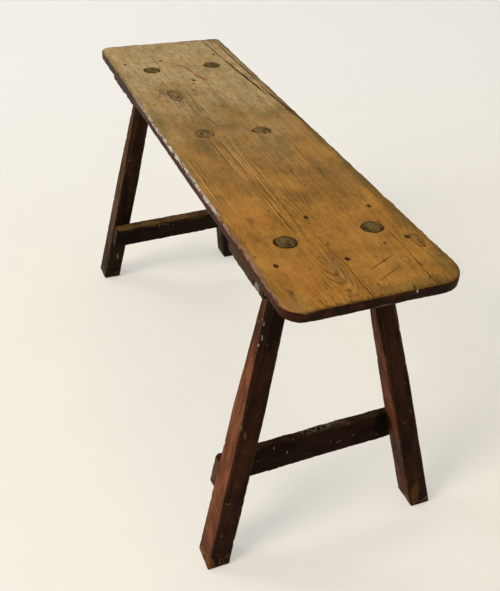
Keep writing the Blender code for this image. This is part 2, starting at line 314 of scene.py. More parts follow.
def cut(mesh: Mesh, tools: Sequence[Mesh]) -> Mesh:
    """Cuts tools out of a mesh, one after another.

    Args:
        mesh: The mesh to cut.
        tools: The closed meshes to take away.

    Returns:
        The mesh that is left.
    """
    helpers = [bpy.data.objects.new(mesh.name + "_blank", mesh)]
    helpers += [bpy.data.objects.new(tool.name, outward(tool)) for tool in tools]
    for helper in helpers:
        bpy.context.scene.collection.objects.link(helper)
    for cutter in helpers[1:]:
        modifier = helpers[0].modifiers.new(cutter.name, "BOOLEAN")
        modifier.operation, modifier.solver, modifier.object = "DIFFERENCE", "EXACT", cutter
    graph = bpy.context.evaluated_depsgraph_get()
    made = bpy.data.meshes.new_from_object(helpers[0].evaluated_get(graph))
    for helper in helpers:
        bpy.data.objects.remove(helper, do_unlink=True)
    made.name = mesh.name
    return made


@dataclass(frozen=True)
class BoardForm:
    """A board with rounded corners in plan and worn arrises. Its length lies along its own X.

    The plan is made by carrying each corner square of the block onto a quarter disc, so that lines at
    one distance from the corner stay at one distance. The arrises are rounded in the same way, in the
    plane through the outline's normal and Z.
    """

    half_length: float
    half_width: float
    low: float
    high: float
    corner_radii: tuple[float, float, float, float]
    top_ease: float
    under_ease: float
    steps: tuple[int, int]
    unevenness: float
    seed: int
    raggedness: float = 0.0
    arris_fade: float = 0.0028
    edge_fade: float = 0.004
    end_fade: float = 0.006

    def shell(self) -> Shell:
        """The board's skin in its own frame, with its timber places and arris values.

        Returns:
            The shell.
        """
        margin = max(self.top_ease, self.under_ease) * 2.2
        made = lattice(
            tapered_steps(self.half_length, margin, self.steps[0]),
            tapered_steps(self.half_width, margin, self.steps[1]),
            np.linspace(self.low, self.high, 11),
        )
        x, y, z = made.points.T
        quarter = np.where(y > 0, np.where(x > 0, 0, 1), np.where(x > 0, 3, 2))
        radius = np.array(self.corner_radii)[quarter]
        over_x = np.abs(x) - (self.half_length - radius)
        over_y = np.abs(y) - (self.half_width - radius)
        cornered = (over_x > 0) & (over_y > 0)
        squeeze = np.maximum(over_x, over_y) / np.maximum(np.hypot(over_x, over_y), 1e-9)
        plan_x = np.where(cornered, over_x * squeeze, over_x)
        plan_y = np.where(cornered, over_y * squeeze, over_y)
        x = np.sign(x) * (plan_x + self.half_length - radius)
        y = np.sign(y) * (plan_y + self.half_width - radius)
        straight = np.minimum(self.half_length - np.abs(x), self.half_width - np.abs(y))
        inset = np.where(cornered, radius - np.hypot(plan_x, plan_y), straight)
        along_x = self.half_length - np.abs(x) <= self.half_width - np.abs(y)
        length = np.maximum(np.hypot(plan_x, plan_y), 1e-9)
        normal_x = np.sign(x) * np.where(cornered, plan_x / length, along_x)
        normal_y = np.sign(y) * np.where(cornered, plan_y / length, ~along_x)

        plan = np.stack([x, y], axis=1)
        wear = 1 + 0.45 * ripple(plan, 0.045, self.seed) + 0.3 * ripple(plan, 0.011, self.seed + 1)
        inward, lift = inset, z
        for level, ease, sign in ((self.high, self.top_ease, 1), (self.low, self.under_ease, -1)):
            worn = ease * np.clip(wear, 0.35, 2.0)
            depth = sign * (level - lift)
            near = (inward < worn) & (depth < worn)
            a, b = worn - inward, worn - depth
            pull = np.maximum(a, b) / np.maximum(np.hypot(a, b), 1e-9)
            inward = np.where(near, worn - a * pull, inward)
            lift = np.where(near, level - sign * (worn - b * pull), lift)

        space = np.stack([x, y, lift], axis=1)
        rough = ripple(space, (0.09, 0.035, 0.035), self.seed + 2)
        bite = self.unevenness * (0.6 + 0.6 * rough) * np.exp(-inset / self.edge_fade)
        ends = np.exp(-(self.half_length - np.abs(x)) / self.end_fade)
        torn = ripple(space[:, 1:], (0.013, 0.008), self.seed + 3)
        torn += ripple(space[:, 1:], (0.045, 0.050), self.seed + 4)
        bite += self.raggedness * np.clip(0.5 + 0.6 * torn, 0, 1.6) * ends
        shift = inward - inset + bite
        skin = np.clip(0.5 + 0.5 * ripple(space, (0.12, 0.04, 0.04), self.seed + 5), 0, 1)
        middle = (self.high + self.low) / 2
        lift = middle + (lift - middle) * (1 - self.unevenness * skin / (self.high - self.low))
        made.points = np.stack([x - normal_x * shift, y - normal_y * shift, lift], axis=1)
        made.timber = made.points.copy()
        level_gap = np.minimum(self.high - z, z - self.low)
        made.arris = np.exp(-np.maximum(level_gap + inset, 0) / self.arris_fade)
        return made


# Shader nodes


@dataclass(frozen=True)
class Wire:
    """The output of a node: a number, a place or a colour from which other nodes work out more."""

    socket: bpy.types.NodeSocket

    def __add__(self, other: "Value") -> "Wire":
        """The sum."""
        return calc("ADD", self, other)

    def __sub__(self, other: "Value") -> "Wire":
        """The difference."""
        return calc("SUBTRACT", self, other)

    def __rsub__(self, other: "Value") -> "Wire":
        """A number less this one."""
        return calc("SUBTRACT", other, self)

    def __mul__(self, other: "Value") -> "Wire":
        """The product."""
        return calc("MULTIPLY", self, other)

    def __truediv__(self, other: "Value") -> "Wire":
        """The quotient."""
        return calc("DIVIDE", self, other)

    def scaled(self, factor: "Value", rest: "Value", **settings: object) -> "Wire":
        """This number times a factor, plus the rest."""
        return calc("MULTIPLY_ADD", self, factor, rest, **settings)

    def step(self, low: "Value", high: "Value") -> "Wire":
        """A smooth step from 0 at low to 1 at high."""
        inputs = {"Value": self, "From Min": low, "From Max": high}
        return derived("MapRange", inputs, "Result", interpolation_type="SMOOTHSTEP", clamp=False)

    def stretched(self, *scale: float) -> "Wire":
        """This place multiplied by a scale for each axis."""
        return vector("MULTIPLY", self, scale)

    def noise(self, scale: "Value", detail: float, rough: float = 0.55) -> "Wire":
        """Smooth noise about 0.5, by its cells a metre, its count of finer layers and their strength."""
        inputs = {"Vector": self, "Scale": scale, "Detail": detail, "Roughness": rough}
        return derived("TexNoise", inputs, noise_dimensions="3D")

    def toward(self, colour: "Value", mask: "Wire", strength: float = 1.0) -> "Wire":
        """This colour mixed with another, where a mask shows it and as strongly as given."""
        return mixed(mask if strength == 1 else mask * strength, self, colour)

    def bump(self, distance: float) -> "Wire":
        """The normal of a surface with this height, as a share of a distance in metres."""
        return derived("Bump", {"Strength": 1, "Distance": distance, "Height": self})

    def parts(self) -> "list[Wire]":
        """X, Y and Z of this place."""
        return [Wire(part) for part in add_node(self.socket.id_data, "SeparateXYZ", {0: self}).outputs]


Value = float | Sequence[float] | Wire


def feed(socket: bpy.types.NodeSocket, value: Value) -> None:
    """Joins a socket to a wire, or sets its number or colour.

    Args:
        socket: The input.
        value: What it takes.
    """
    if isinstance(value, Wire):
        socket.id_data.links.new(value.socket, socket)
    else:
        socket.default_value = value


def add_node(tree: Tree, kind: str, inputs: Mapping[str | int, Value], **settings: object) -> bpy.types.Node:
    """A new node.

    Args:
        tree: The tree of a material, a world or a group.
        kind: Its type, without the words ShaderNode.
        inputs: What its sockets take, by name or number.
        **settings: Its properties.

    Returns:
        The node.
    """
    node = tree.nodes.new("ShaderNode" + kind)
    for name, value in settings.items():
        setattr(node, name, value)
    for key, value in inputs.items():
        feed(node.inputs[key], value)
    return node


def derived(kind: str, inputs: Mapping[str | int, Value], output: str | int = 0, **settings: object) -> Wire:
    """An output, by name or number, of a new node in the tree of the wires that it takes."""
    tree = next(value.socket.id_data for value in inputs.values() if isinstance(value, Wire))
    return Wire(add_node(tree, kind, inputs, **settings).outputs[output])


def calc(operation: str, *values: Value, **settings: object) -> Wire:
    """The result of a Math node on values in order."""
    return derived("Math", dict(enumerate(values)), operation=operation, **settings)


def vector(operation: str, *values: Value) -> Wire:
    """The result of a Vector Math node: a number for a length or a dot product, and otherwise a place."""
    output = "Value" if operation in ("LENGTH", "DOT_PRODUCT") else "Vector"
    return derived("VectorMath", dict(enumerate(values)), output, operation=operation)


def mixed(share: Value, first: Value, second: Value) -> Wire:
    """Two colours mixed, with a share of the second."""
    return derived("Mix", {0: share, 6: first, 7: second}, 2, data_type="RGBA")


@dataclass(frozen=True)
class Effect:
    """A shader node group that materials place."""

    tree: Tree

    def __call__(self, **values: Value) -> dict[str, Wire]:
        """Places the group.

        Args:
            **values: What its inputs take, by name with _ for a space.

        Returns:
            Its outputs by name.
        """
        inputs = {name.replace("_", " "): value for name, value in values.items()}
        node = add_node(values["Point"].socket.id_data, "Group", inputs, node_tree=self.tree)
        return {output.name: Wire(output) for output in node.outputs}


class Recipe:
    """A shader node group in the making, with named inputs and outputs. Its first input is Point."""

    def __init__(self, name: str, **inputs: Value) -> None:
        """Makes the group and its inputs.

        Args:
            name: The name of the group.
            **inputs: The usual number or place of each input, by name with _ for a space.
        """
        self.tree = bpy.data.node_groups.new(name, "ShaderNodeTree")
        for label, usual in {"Point": (0, 0, 0), **inputs}.items():
            kind = "NodeSocketVector" if isinstance(usual, tuple) else "NodeSocketFloat"
            socket = self.tree.interface.new_socket(label.replace("_", " "), in_out="INPUT", socket_type=kind)
            socket.default_value = usual
        self.inlets = [Wire(outlet) for outlet in self.tree.nodes.new("NodeGroupInput").outputs][:-1]

    def done(self, **outputs: Wire) -> Effect:
        """Makes the outputs, which are numbers, and joins them.

        Args:
            **outputs: What each puts out.

        Returns:
            The finished effect.
        """
        for label in outputs:
            self.tree.interface.new_socket(label, in_out="OUTPUT", socket_type="NodeSocketFloat")
        ending = self.tree.nodes.new("NodeGroupOutput")
        for label, value in outputs.items():
            feed(ending.inputs[label], value)
        return Effect(self.tree)


def ring_figure() -> Effect:
    """The figure of yearly rings on a sawn board.

    A ring is a cylinder about the pith, so its number is the distance to the pith line over the
    spacing. The pith line lies along X and dives near one end, which makes nested arches on the face:
    its depth is Pith Depth plus Dive times e to the power of (X less Dive Place) over 0.07 m.

    Returns:
        The effect.
    """
    usual = {"Dive": 0.0, "Dive_Place": 0.45, "Spacing": 0.004, "Wander": 0.006, "Bend": 0.0}
    recipe = Recipe("ring_figure", Pith_Side=0.0, Pith_Depth=0.02, **usual)
    point, pith_side, pith_depth, dive, dive_place, spacing, wander, bend = recipe.inlets
    x, y, z = point.parts()
    slow = point.stretched(2.2, 7, 7).noise(1, 2) - 0.5
    quick = point.stretched(9, 40, 40).noise(1, 3) - 0.5
    down = calc("EXPONENT", (x - dive_place) / 0.07).scaled(dive, pith_depth) - z
    across = slow.scaled(wander, y - pith_side)
    reach = calc("SQRT", across * across + down * down)
    count = (quick.scaled(wander * 0.16, slow.scaled(wander, reach)) + bend) / spacing
    share = calc("FRACT", count)
    year = derived("TexWhiteNoise", {"W": calc("FLOOR", count)}, noise_dimensions="1D")
    return recipe.done(Late=share.step(0.45, 0.9) * share.step(1.0, 0.94), Year=year)


def fibre() -> Effect:
    """Streaks of fibre along X: fine ones, broad bands and sparse dark pores.

    Returns:
        The effect.
    """
    recipe = Recipe("fibre", Finer=1.0)
    point, finer = recipe.inlets
    streak = point.stretched(9, 420, 420).noise(finer, 4, 0.6)
    band = point.stretched(3.2, 60, 60).noise(finer, 3)
    dashes = point.stretched(30, 900, 900).noise(finer, 2, 0.5)
    return recipe.done(Streak=streak, Band=band, Pores=dashes.step(0.6, 0.72) * band.step(0.42, 0.6))


def patches() -> Effect:
    """Soft-edged patches of noise, such as dirt, fading or bare spots.

    Returns:
        The effect.
    """
    recipe = Recipe("patches", Scale=12.0, Share=0.4, Softness=0.1)
    point, scale, share, softness = recipe.inlets
    noise = point.noise(scale, 5, 0.6)
    edge = 0.72 - share * 0.44
    return recipe.done(Mask=noise.step(edge - softness, edge + softness))


def rubbed_arris() -> Effect:
    """Where handling has rubbed an arris: the nearness to it, broken up by noise.

    Returns:
        The effect.
    """
    recipe = Recipe("rubbed_arris", Arris=0.0, Scale=60.0, Amount=0.5)
    point, arris, scale, amount = recipe.inlets
    broken = point.noise(scale, 5, 0.65) * 0.9 + point.noise(scale * 0.2, 2) * 0.7
    edge = 1.05 - amount
    return recipe.done(Mask=(arris + (broken - 0.8)).step(edge - 0.07, edge + 0.07))


def line_mark() -> Effect:
    """A mark along a straight line from one place to another, such as a crack or a scratch.

    The mask falls with the distance to the nearest place on the line, and thins towards both ends.

    Returns:
        The effect.
    """
    recipe = Recipe("line_mark", Start=(0, 0, 0), Finish=(1, 0, 0), Width=0.001)
    point, start, finish, width = recipe.inlets
    run, reach = vector("SUBTRACT", finish, start), vector("SUBTRACT", point, start)
    share = vector("DOT_PRODUCT", reach, run) / vector("DOT_PRODUCT", run, run)
    share = calc("MINIMUM", calc("MAXIMUM", share, 0.0), 1.0)
    nearest = derived("VectorMath", {0: run, "Scale": share}, operation="SCALE")
    distance = vector("LENGTH", vector("SUBTRACT", reach, nearest))
    wide = width * (share * (1.0 - share)).scaled(2.4, 0.4)
    return recipe.done(Mask=distance.step(wide, wide * 0.35))


def spot_mark() -> Effect:
    """A ragged oval mark round a place, such as a stain or a knot, the nearness to it and its outline.

    Returns:
        The effect.
    """
    recipe = Recipe("spot_mark", Centre=(0, 0, 0), Reach=(0.01, 0.01, 0.01), Torn=0.0, Ragged=0.3)
    point, centre, reach, torn, ragged = recipe.inlets
    distance = vector("LENGTH", vector("DIVIDE", vector("SUBTRACT", point, centre), reach))
    uneven = torn.scaled(ragged * 4, distance)
    nearness = calc("EXPONENT", distance * distance * -1.0)
    loop = calc("ABSOLUTE", uneven - 1.0).step(0.24, 0.06)
    return recipe.done(Mask=uneven.step(1.25, 0.7), Nearness=nearness, Loop=loop)


def specks() -> Effect:
    """Small scattered specks, such as dust, splashes or fly spots.

    Returns:
        The effect.
    """
    recipe = Recipe("specks", Scale=180.0, Share=0.2)
    point, scale, share = recipe.inlets
    inputs = {"Vector": point, "Scale": scale}
    cells = add_node(recipe.tree, "TexVoronoi", inputs, voronoi_dimensions="3D", feature="F1").outputs
    chosen = add_node(recipe.tree, "SeparateColor", {0: Wire(cells["Color"])}).outputs
    size = Wire(chosen[1]) * 0.34 + point.noise(90, 2) * 0.12
    dot = Wire(cells["Distance"]).step(size, size * 0.6)
    return recipe.done(Mask=calc("LESS_THAN", Wire(chosen[0]), share) * dot)


# Marks


@dataclass(frozen=True)
class LineMark:
    """A line on the seat's top: its ends and its width in millimetres, and how much it shows."""

    start: tuple[float, float]
    finish: tuple[float, float]
    width: float
    strength: float
    wavy: bool = True


@dataclass(frozen=True)
class SpotMark:
    """A spot: its centre and half sizes in metres, its colour, how much it shows and how torn it is."""

    centre: Sequence[float]
    reach: Sequence[float]
    colour: Colour = (0.0, 0.0, 0.0, 1.0)
    strength: float = 1.0
    ragged: float = 0.45


def lines(*rows: Sequence[float]) -> tuple[LineMark, ...]:
    """Lines on the seat, each from X and Y of both ends, the width, the strength and if it wavers."""
    return tuple(LineMark(row[:2], row[2:4], *row[4:]) for row in rows)


def spots(*rows: Sequence[float | Colour]) -> tuple[SpotMark, ...]:
    """Spots, each from its place and half sizes in millimetres and then its other values."""
    return tuple(SpotMark([x * MM for x in row[:3]], [x * MM for x in row[3:6]], *row[6:]) for row in rows)


def stains(colour: Colour, *rows: Sequence[float]) -> tuple[SpotMark, ...]:
    """Spots of one colour on the seat, each from X, Y, both half sizes, strength and raggedness."""
    return spots(*((x, y, 0, long, wide, 8, colour, *rest) for x, y, long, wide, *rest in rows))


@dataclass(frozen=True)
class Effects:
    """The effects that the finishes share, each built once."""

    rings: Effect = field(default_factory=ring_figure)
    fibre: Effect = field(default_factory=fibre)
    patches: Effect = field(default_factory=patches)
    rubbed: Effect = field(default_factory=rubbed_arris)
    line: Effect = field(default_factory=line_mark)
    spot: Effect = field(default_factory=spot_mark)
    specks: Effect = field(default_factory=specks)

    def patch(self, place: Wire, scale: float, share: float, softness: float) -> Wire:
        """The mask of soft patches."""
        return self.patches(Point=place, Scale=scale, Share=share, Softness=softness)["Mask"]

    def stain(self, place: Wire, torn: Value, mark: SpotMark, part: str = "Mask") -> Wire:
        """An output of a spot, torn by noise about 0."""
        oval = {"Centre": mark.centre, "Reach": mark.reach, "Ragged": mark.ragged}
        return self.spot(Point=place, Torn=torn, **oval)[part]


class Surface:
    """A material in the making: its shader, and the places and values that its pattern is read from."""

    def __init__(self, name: str, specular: float = 0.5) -> None:
        """Makes the material.

        Args:
            name: Its name.
            specular: The specular level of its shader.
        """
        self.material = bpy.data.materials.new(name)
        self.material.use_nodes = True
        tree = self.material.node_tree
        self.shader = tree.nodes["Principled BSDF"]
        self.shader.inputs["Specular IOR Level"].default_value = specular
        self.point = Wire(add_node(tree, "TexCoord", {}).outputs["Object"])
        kind = {"attribute_type": "GEOMETRY"}
        self.timber, self.arris, self.facing = (
            Wire(add_node(tree, "Attribute", {}, attribute_name=label, **kind).outputs[part])
            for label, part in (("timber", "Vector"), ("arris", "Fac"), ("facing", "Vector"))
        )

    def finish(self, **inputs: Value) -> Material:
        """Joins the shader's inputs.

        Args:
            **inputs: What they take, by name with _ for a space.

        Returns:
            The material.
        """
        for name, value in inputs.items():
            feed(self.shader.inputs[name.replace("_", " ")], value)
        return self.material


DARK_LINE = shade(50, 31, 15)
RUST_STAIN = shade(62, 32, 15)
RUBBED_RED = shade(132, 82, 42)
OLIVE_STAIN = shade(84, 74, 36)
DARK_OLIVE = shade(54, 48, 24)
ORANGE_WOOD = shade(172, 108, 48)
DIRT_STAIN = shade(86, 62, 31)
# Near-black painted shade, laid where the bench's parts shade one another and in small holes.
PAINTED_SHADE = shade(12, 9, 7)
BLACK_BROWN = shade(30, 26, 19)
PALE_SMEAR = shade(168, 158, 146)
OLD_OLIVE = shade(116, 100, 62)
GREY_DUST = shade(92, 86, 62)
YELLOW_DUST = shade(116, 92, 50)
WORN_BROWN = shade(110, 70, 38)

CRACK_DEPTH = 0.0032
CRACKS = lines(
    (184, -43, 316, -44, 1.0, 0.95), (368, -13, 459, -14, 1.1, 0.95), (283, 79, 380, 80, 0.9, 0.8),
    (378, 79, 459, 75, 1.2, 0.95), (-345, 92, -150, 106, 3.4, 1.0), (-190, 110, -10, 121, 2.8, 1.0),
    (-457, 110, -200, 115, 2.2, 0.95), (-459, 88, -342, 92, 2.0, 0.95), (-458, 101, -425, 103, 2.0, 0.95),
    (436, -86, 459, -85, 0.9, 0.9), (437, -77, 459, -76, 0.9, 0.9), (441, -62, 459, -62, 0.8, 0.8),
    (446, 46, 459, 43, 1.3, 0.95),
)
FINE_LINES = lines(
    (273, -24, 368, -14, 0.8, 0.6), (314, -44, 392, -37, 0.7, 0.5), (-393, -40, -209, -42, 0.8, 0.6),
    (-209, -42, -42, -41, 1.0, 0.7), (-205, -30, -60, -24, 1.0, 0.75), (-20, -56, 141, -52, 0.8, 0.6),
    (129, -36, 250, -37, 0.9, 0.7), (107, 2, 249, -11, 0.8, 0.5), (-206, 8, -145, 24, 0.9, 0.5),
    (-145, 24, -30, 30, 0.7, 0.5), (16, 66, 157, 60, 0.9, 0.6), (118, 26, 176, 24, 1.4, 0.5),
    (134, 69, 175, 66, 1.6, 0.45), (-32, 118, 122, 113, 0.9, 0.6), (160, 112, 362, 108, 0.9, 0.5),
    (402.6, 12.1, 381.6, 55.6, 1.2, 0.85, False), (426.9, 11.3, 407.6, 50.5, 1.2, 0.8, False),
    (-191, -25, -210, -6, 0.8, 0.5, False), (-323, -5, -242, -3, 0.6, 0.3),
    (434, 78, 446, 69, 0.9, 0.8, False), (330, 20, 458, 24, 0.5, 0.3),
    (438, -90, 456, -92, 0.8, 0.55), (437, -72, 456, -73, 0.8, 0.55),
    (440, -55, 458, -56, 0.8, 0.6), (441, -48, 458, -49, 0.8, 0.55), (442, -41, 458, -42, 0.8, 0.5),
    (194, 82, 287, 79, 0.8, 0.6), (157, -43, 274, -24, 0.8, 0.55), (60, -100, 230, -104, 0.6, 0.35),
    (20, -20, 172, -25, 1.1, 0.75), (4, -56, 145, -58, 1.0, 0.65), (12, -42, 160, -41, 1.0, 0.65),
    (158, -31, 241, -28, 1.0, 0.65), (50, -110, 200, -109.5, 1.0, 0.6), (-115, -53, -44, -63, 1.0, 0.6),
    (-84, 27, -7, 45, 0.9, 0.55), (30, 10, 170, 14, 0.9, 0.55), (60, 40, 200, 36, 0.8, 0.45),
    (-174, 19, -107, 19, 1.0, 0.6), (-171, -31, -87, -33, 1.4, 0.8), (-87, -33, -44, -24, 1.5, 0.85),
    (-120, 60, 40, 66, 0.6, 0.4),
)
FAN_LINES = lines(
    *((190 + 3 * n, 14 - 9 * n, 252 + 2 * n, 4 - 4.6 * n, 0.9, 0.62) for n in range(6)),
    *((-228 + 5 * n, -78 + 3 * n, -182 + 9 * n, -77 + 8 * n, 0.9, 0.6) for n in range(5)),
)
# Painted highlights: pale lines along raised grain and on the lips of cracks and scratches.
PAINTED_HIGHLIGHTS = lines(
    (17, -27, 148, -30, 1.0, 0.75), (23, -46, 149, -49, 0.9, 0.6), (46, -23, 181, -20, 1.0, 0.7),
    (-4, -54, 134, -52, 1.1, 0.8), (0, -39, 150, -37, 1.1, 0.8), (38, -34, 229, -31, 1.0, 0.65),
    (57, -113, 199, -112, 1.0, 0.7), (184, -45.5, 314, -46.5, 0.8, 0.5), (16, 64, 150, 58, 0.9, 0.5),
    (20, 72, 95, 69, 0.7, 0.4), (137, -119, 280, -116, 1.0, 0.35),
    (406.4, 13.5, 385.4, 57, 0.7, 0.35, False),
)
RUBBED_LINES = lines(
    (-330, -6, -312, 8, 6.0, 0.8, False), (-318, 7, -284, 11, 6.0, 0.8, False),
    (-290, 10, -256, 15, 4.5, 0.65, False), (-270, 12, -240, 25, 7.0, 0.95, False),
)
STAINS_AND_SHADE = (
    stains(
        DARK_OLIVE,
        (418, -103, 8, 3.4, 0.7, 0.7), (431, -104, 6, 2.4, 0.65, 0.8),
        # these two are painted shade on the left rims of the near tenon holes
        (311, -76, 3.6, 5.5, 0.9, 0.1), (309, 53, 3.6, 5.5, 0.9, 0.1),
    ),
    stains(
        DIRT_STAIN,
        (443, 80, 7, 6, 0.5, 0.9), (364, 107, 9, 4, 0.6, 0.7), (354, 60, 4, 3, 0.8, 0.2),
        (250, -87, 8, 4, 0.7, 0.3), (-167, -77, 5, 3, 0.5, 0.5), (-219, -79, 5, 3, 0.5, 0.5),
        (-72, -44, 26, 12, 0.3, 0.9), (-232, -6, 4, 2.4, 0.7, 0.6), (-201, -16, 5, 2, 0.7, 0.6),
    ),
    stains(
        OLIVE_STAIN,
        (15, -70, 46, 13, 0.24, 1.0), (170, 88, 70, 26, 0.30, 1.0), (30, 40, 60, 14, 0.22, 1.0),
        (-95, -112, 60, 7, 0.35, 1.0), (417, 110, 36, 13, 0.55, 0.9), (300, 112, 60, 9, 0.5, 1.0),
        (180, 113, 60, 8, 0.5, 1.0), (447, 40, 10, 46, 0.45, 1.0),
    ),
    stains(
        ORANGE_WOOD,
        (170, -83, 26, 9, 0.32, 1.0), (238, -78, 34, 16, 0.30, 1.0), (228, -106, 40, 8, 0.28, 1.0),
        (300, 20, 40, 14, 0.25, 1.0), (400, -80, 34, 18, 0.28, 1.0),
    ),
    stains(
        DARK_LINE,
        (349, 99, 4, 2.6, 0.8, 0.4), (-178, -49, 6, 2.4, 0.7, 0.5), (-13, 23, 6, 2.4, 0.95, 0.3),
    ),
    stains(shade(112, 92, 56), (-190, -57, 25, 12, 0.25, 0.6)),
    stains(shade(110, 70, 36), (-253, 0, 7, 3, 0.6, 0.3)),
    stains(shade(104, 84, 52), (385, -28, 34, 12, 0.35, 0.3)),
    stains(shade(104, 76, 38), (214, 8, 26, 9, 0.4, 0.3)),
)
KNOT_LOOPS = stains(
    DARK_LINE,
    (-208, -68, 6, 3.6, 0.7, 0.35), (-208, -68, 12, 7, 0.75, 0.35), (-189, -55, 6, 3.4, 0.75, 0.35),
    (-189, -55, 13, 7, 0.8, 0.3), (-186, -54, 22, 11, 0.6, 0.25), (360, 105, 8, 4, 0.6, 0.35),
    (361, 105, 15, 7, 0.6, 0.3), (396, 66, 7, 5, 0.35, 0.4),
)
END_SPECKS = spots(
    (457.5, 46.3, 496.8, 3, 1.2, 2.2, shade(196, 186, 170), 0.8, 0.5),
    (457.5, 1.0, 486.2, 3, 10, 1.6, shade(104, 80, 52), 0.8, 0.5),
)
LEG_MARKS = spots(
    # painted shade under the seat, at the top of the near-left leg
    (338, -96, 430, 45, 45, 85, PAINTED_SHADE, 0.55),
    (-400, -175, 70, 60, 60, 110, BLACK_BROWN, 0.5),
    (341.8, -99.6, 397, 1.3, 1.2, 6, PALE_SMEAR, 0.3),
    (346.8, -103.3, 381, 1.2, 1.2, 4, PALE_SMEAR, 0.45),
    (347.4, -102.8, 375.5, 1, 1, 3, PALE_SMEAR, 0.35),
    (347.1, -107.7, 366.7, 1.4, 1.3, 2, PALE_SMEAR, 0.5),
    (373.2, -137, 245, 2, 2, 5, OLD_OLIVE, 0.4),
    (-371.7, -131.6, 62.3, 3, 2.4, 9, OLD_OLIVE, 0.7),
    (376.2, -131.5, 230, 2, 2, 7, OLD_OLIVE, 0.35),
    # painted shade where the near stretcher meets the near-right leg
    (354.5, 124, 152, 14, 10, 28, PAINTED_SHADE, 0.9),
    (411, 166, 32, 12, 8, 19, WORN_BROWN, 0.5),
    (413.5, -190, 10, 6, 5, 10, WORN_BROWN, 0.5),
    # painted shade low on the near-right leg's inner face
    (390, 134, 70, 40, 14, 75, PAINTED_SHADE, 0.55),
    (-380, 170, 110, 80, 80, 150, BLACK_BROWN, 0.7),
)
CLEAT_MARKS = spots((360, -121.5, 474, 7, 5, 7, PALE_SMEAR, 0.35))
STRETCHER_MARKS = spots(
    (345, -164, 140, 14, 8, 24, shade(88, 66, 46), 0.55),
    (-346, -50, 148, 10, 35, 4, YELLOW_DUST, 0.45),
    (-346, -115, 147, 10, 18, 4, YELLOW_DUST, 0.45),
    (-346, 40, 150, 10, 26, 4, YELLOW_DUST, 0.35),
    (337, -6, 163, 8.5, 16, 3, GREY_DUST, 0.8),
    (337.5, 16, 164, 8.5, 18, 3, GREY_DUST, 0.7),
    (337, 44, 164.5, 7, 14, 3, GREY_DUST, 0.3),
    # painted shade in small holes in the near stretcher's top
    (339.7, -13.9, 163, 3.6, 3.4, 5, PAINTED_SHADE, 1.0),
    (341.2, -7, 163.4, 2.6, 2.2, 5, PAINTED_SHADE, 0.9),
    (337.2, 0.5, 163.2, 3.6, 3.4, 5, PAINTED_SHADE, 1.0),
    (341, 8, 163.9, 3.6, 3.4, 5, PAINTED_SHADE, 1.0),
    (340.4, 17.3, 164.2, 3.6, 3.4, 5, PAINTED_SHADE, 1.0),
    (336.6, 12, 164, 2.4, 2.2, 5, PAINTED_SHADE, 0.8),
    (351.7, -48.2, 142.8, 3, 1.8, 3, OLD_OLIVE, 0.8),
    (349.5, -70, 157.2, 3, 1.6, 3, OLD_OLIVE, 0.8),
    # painted shadow where the near stretcher meets the near-right leg
    (350.5, 117, 150, 14, 14, 24, PAINTED_SHADE, 0.95),
)


# Finishes


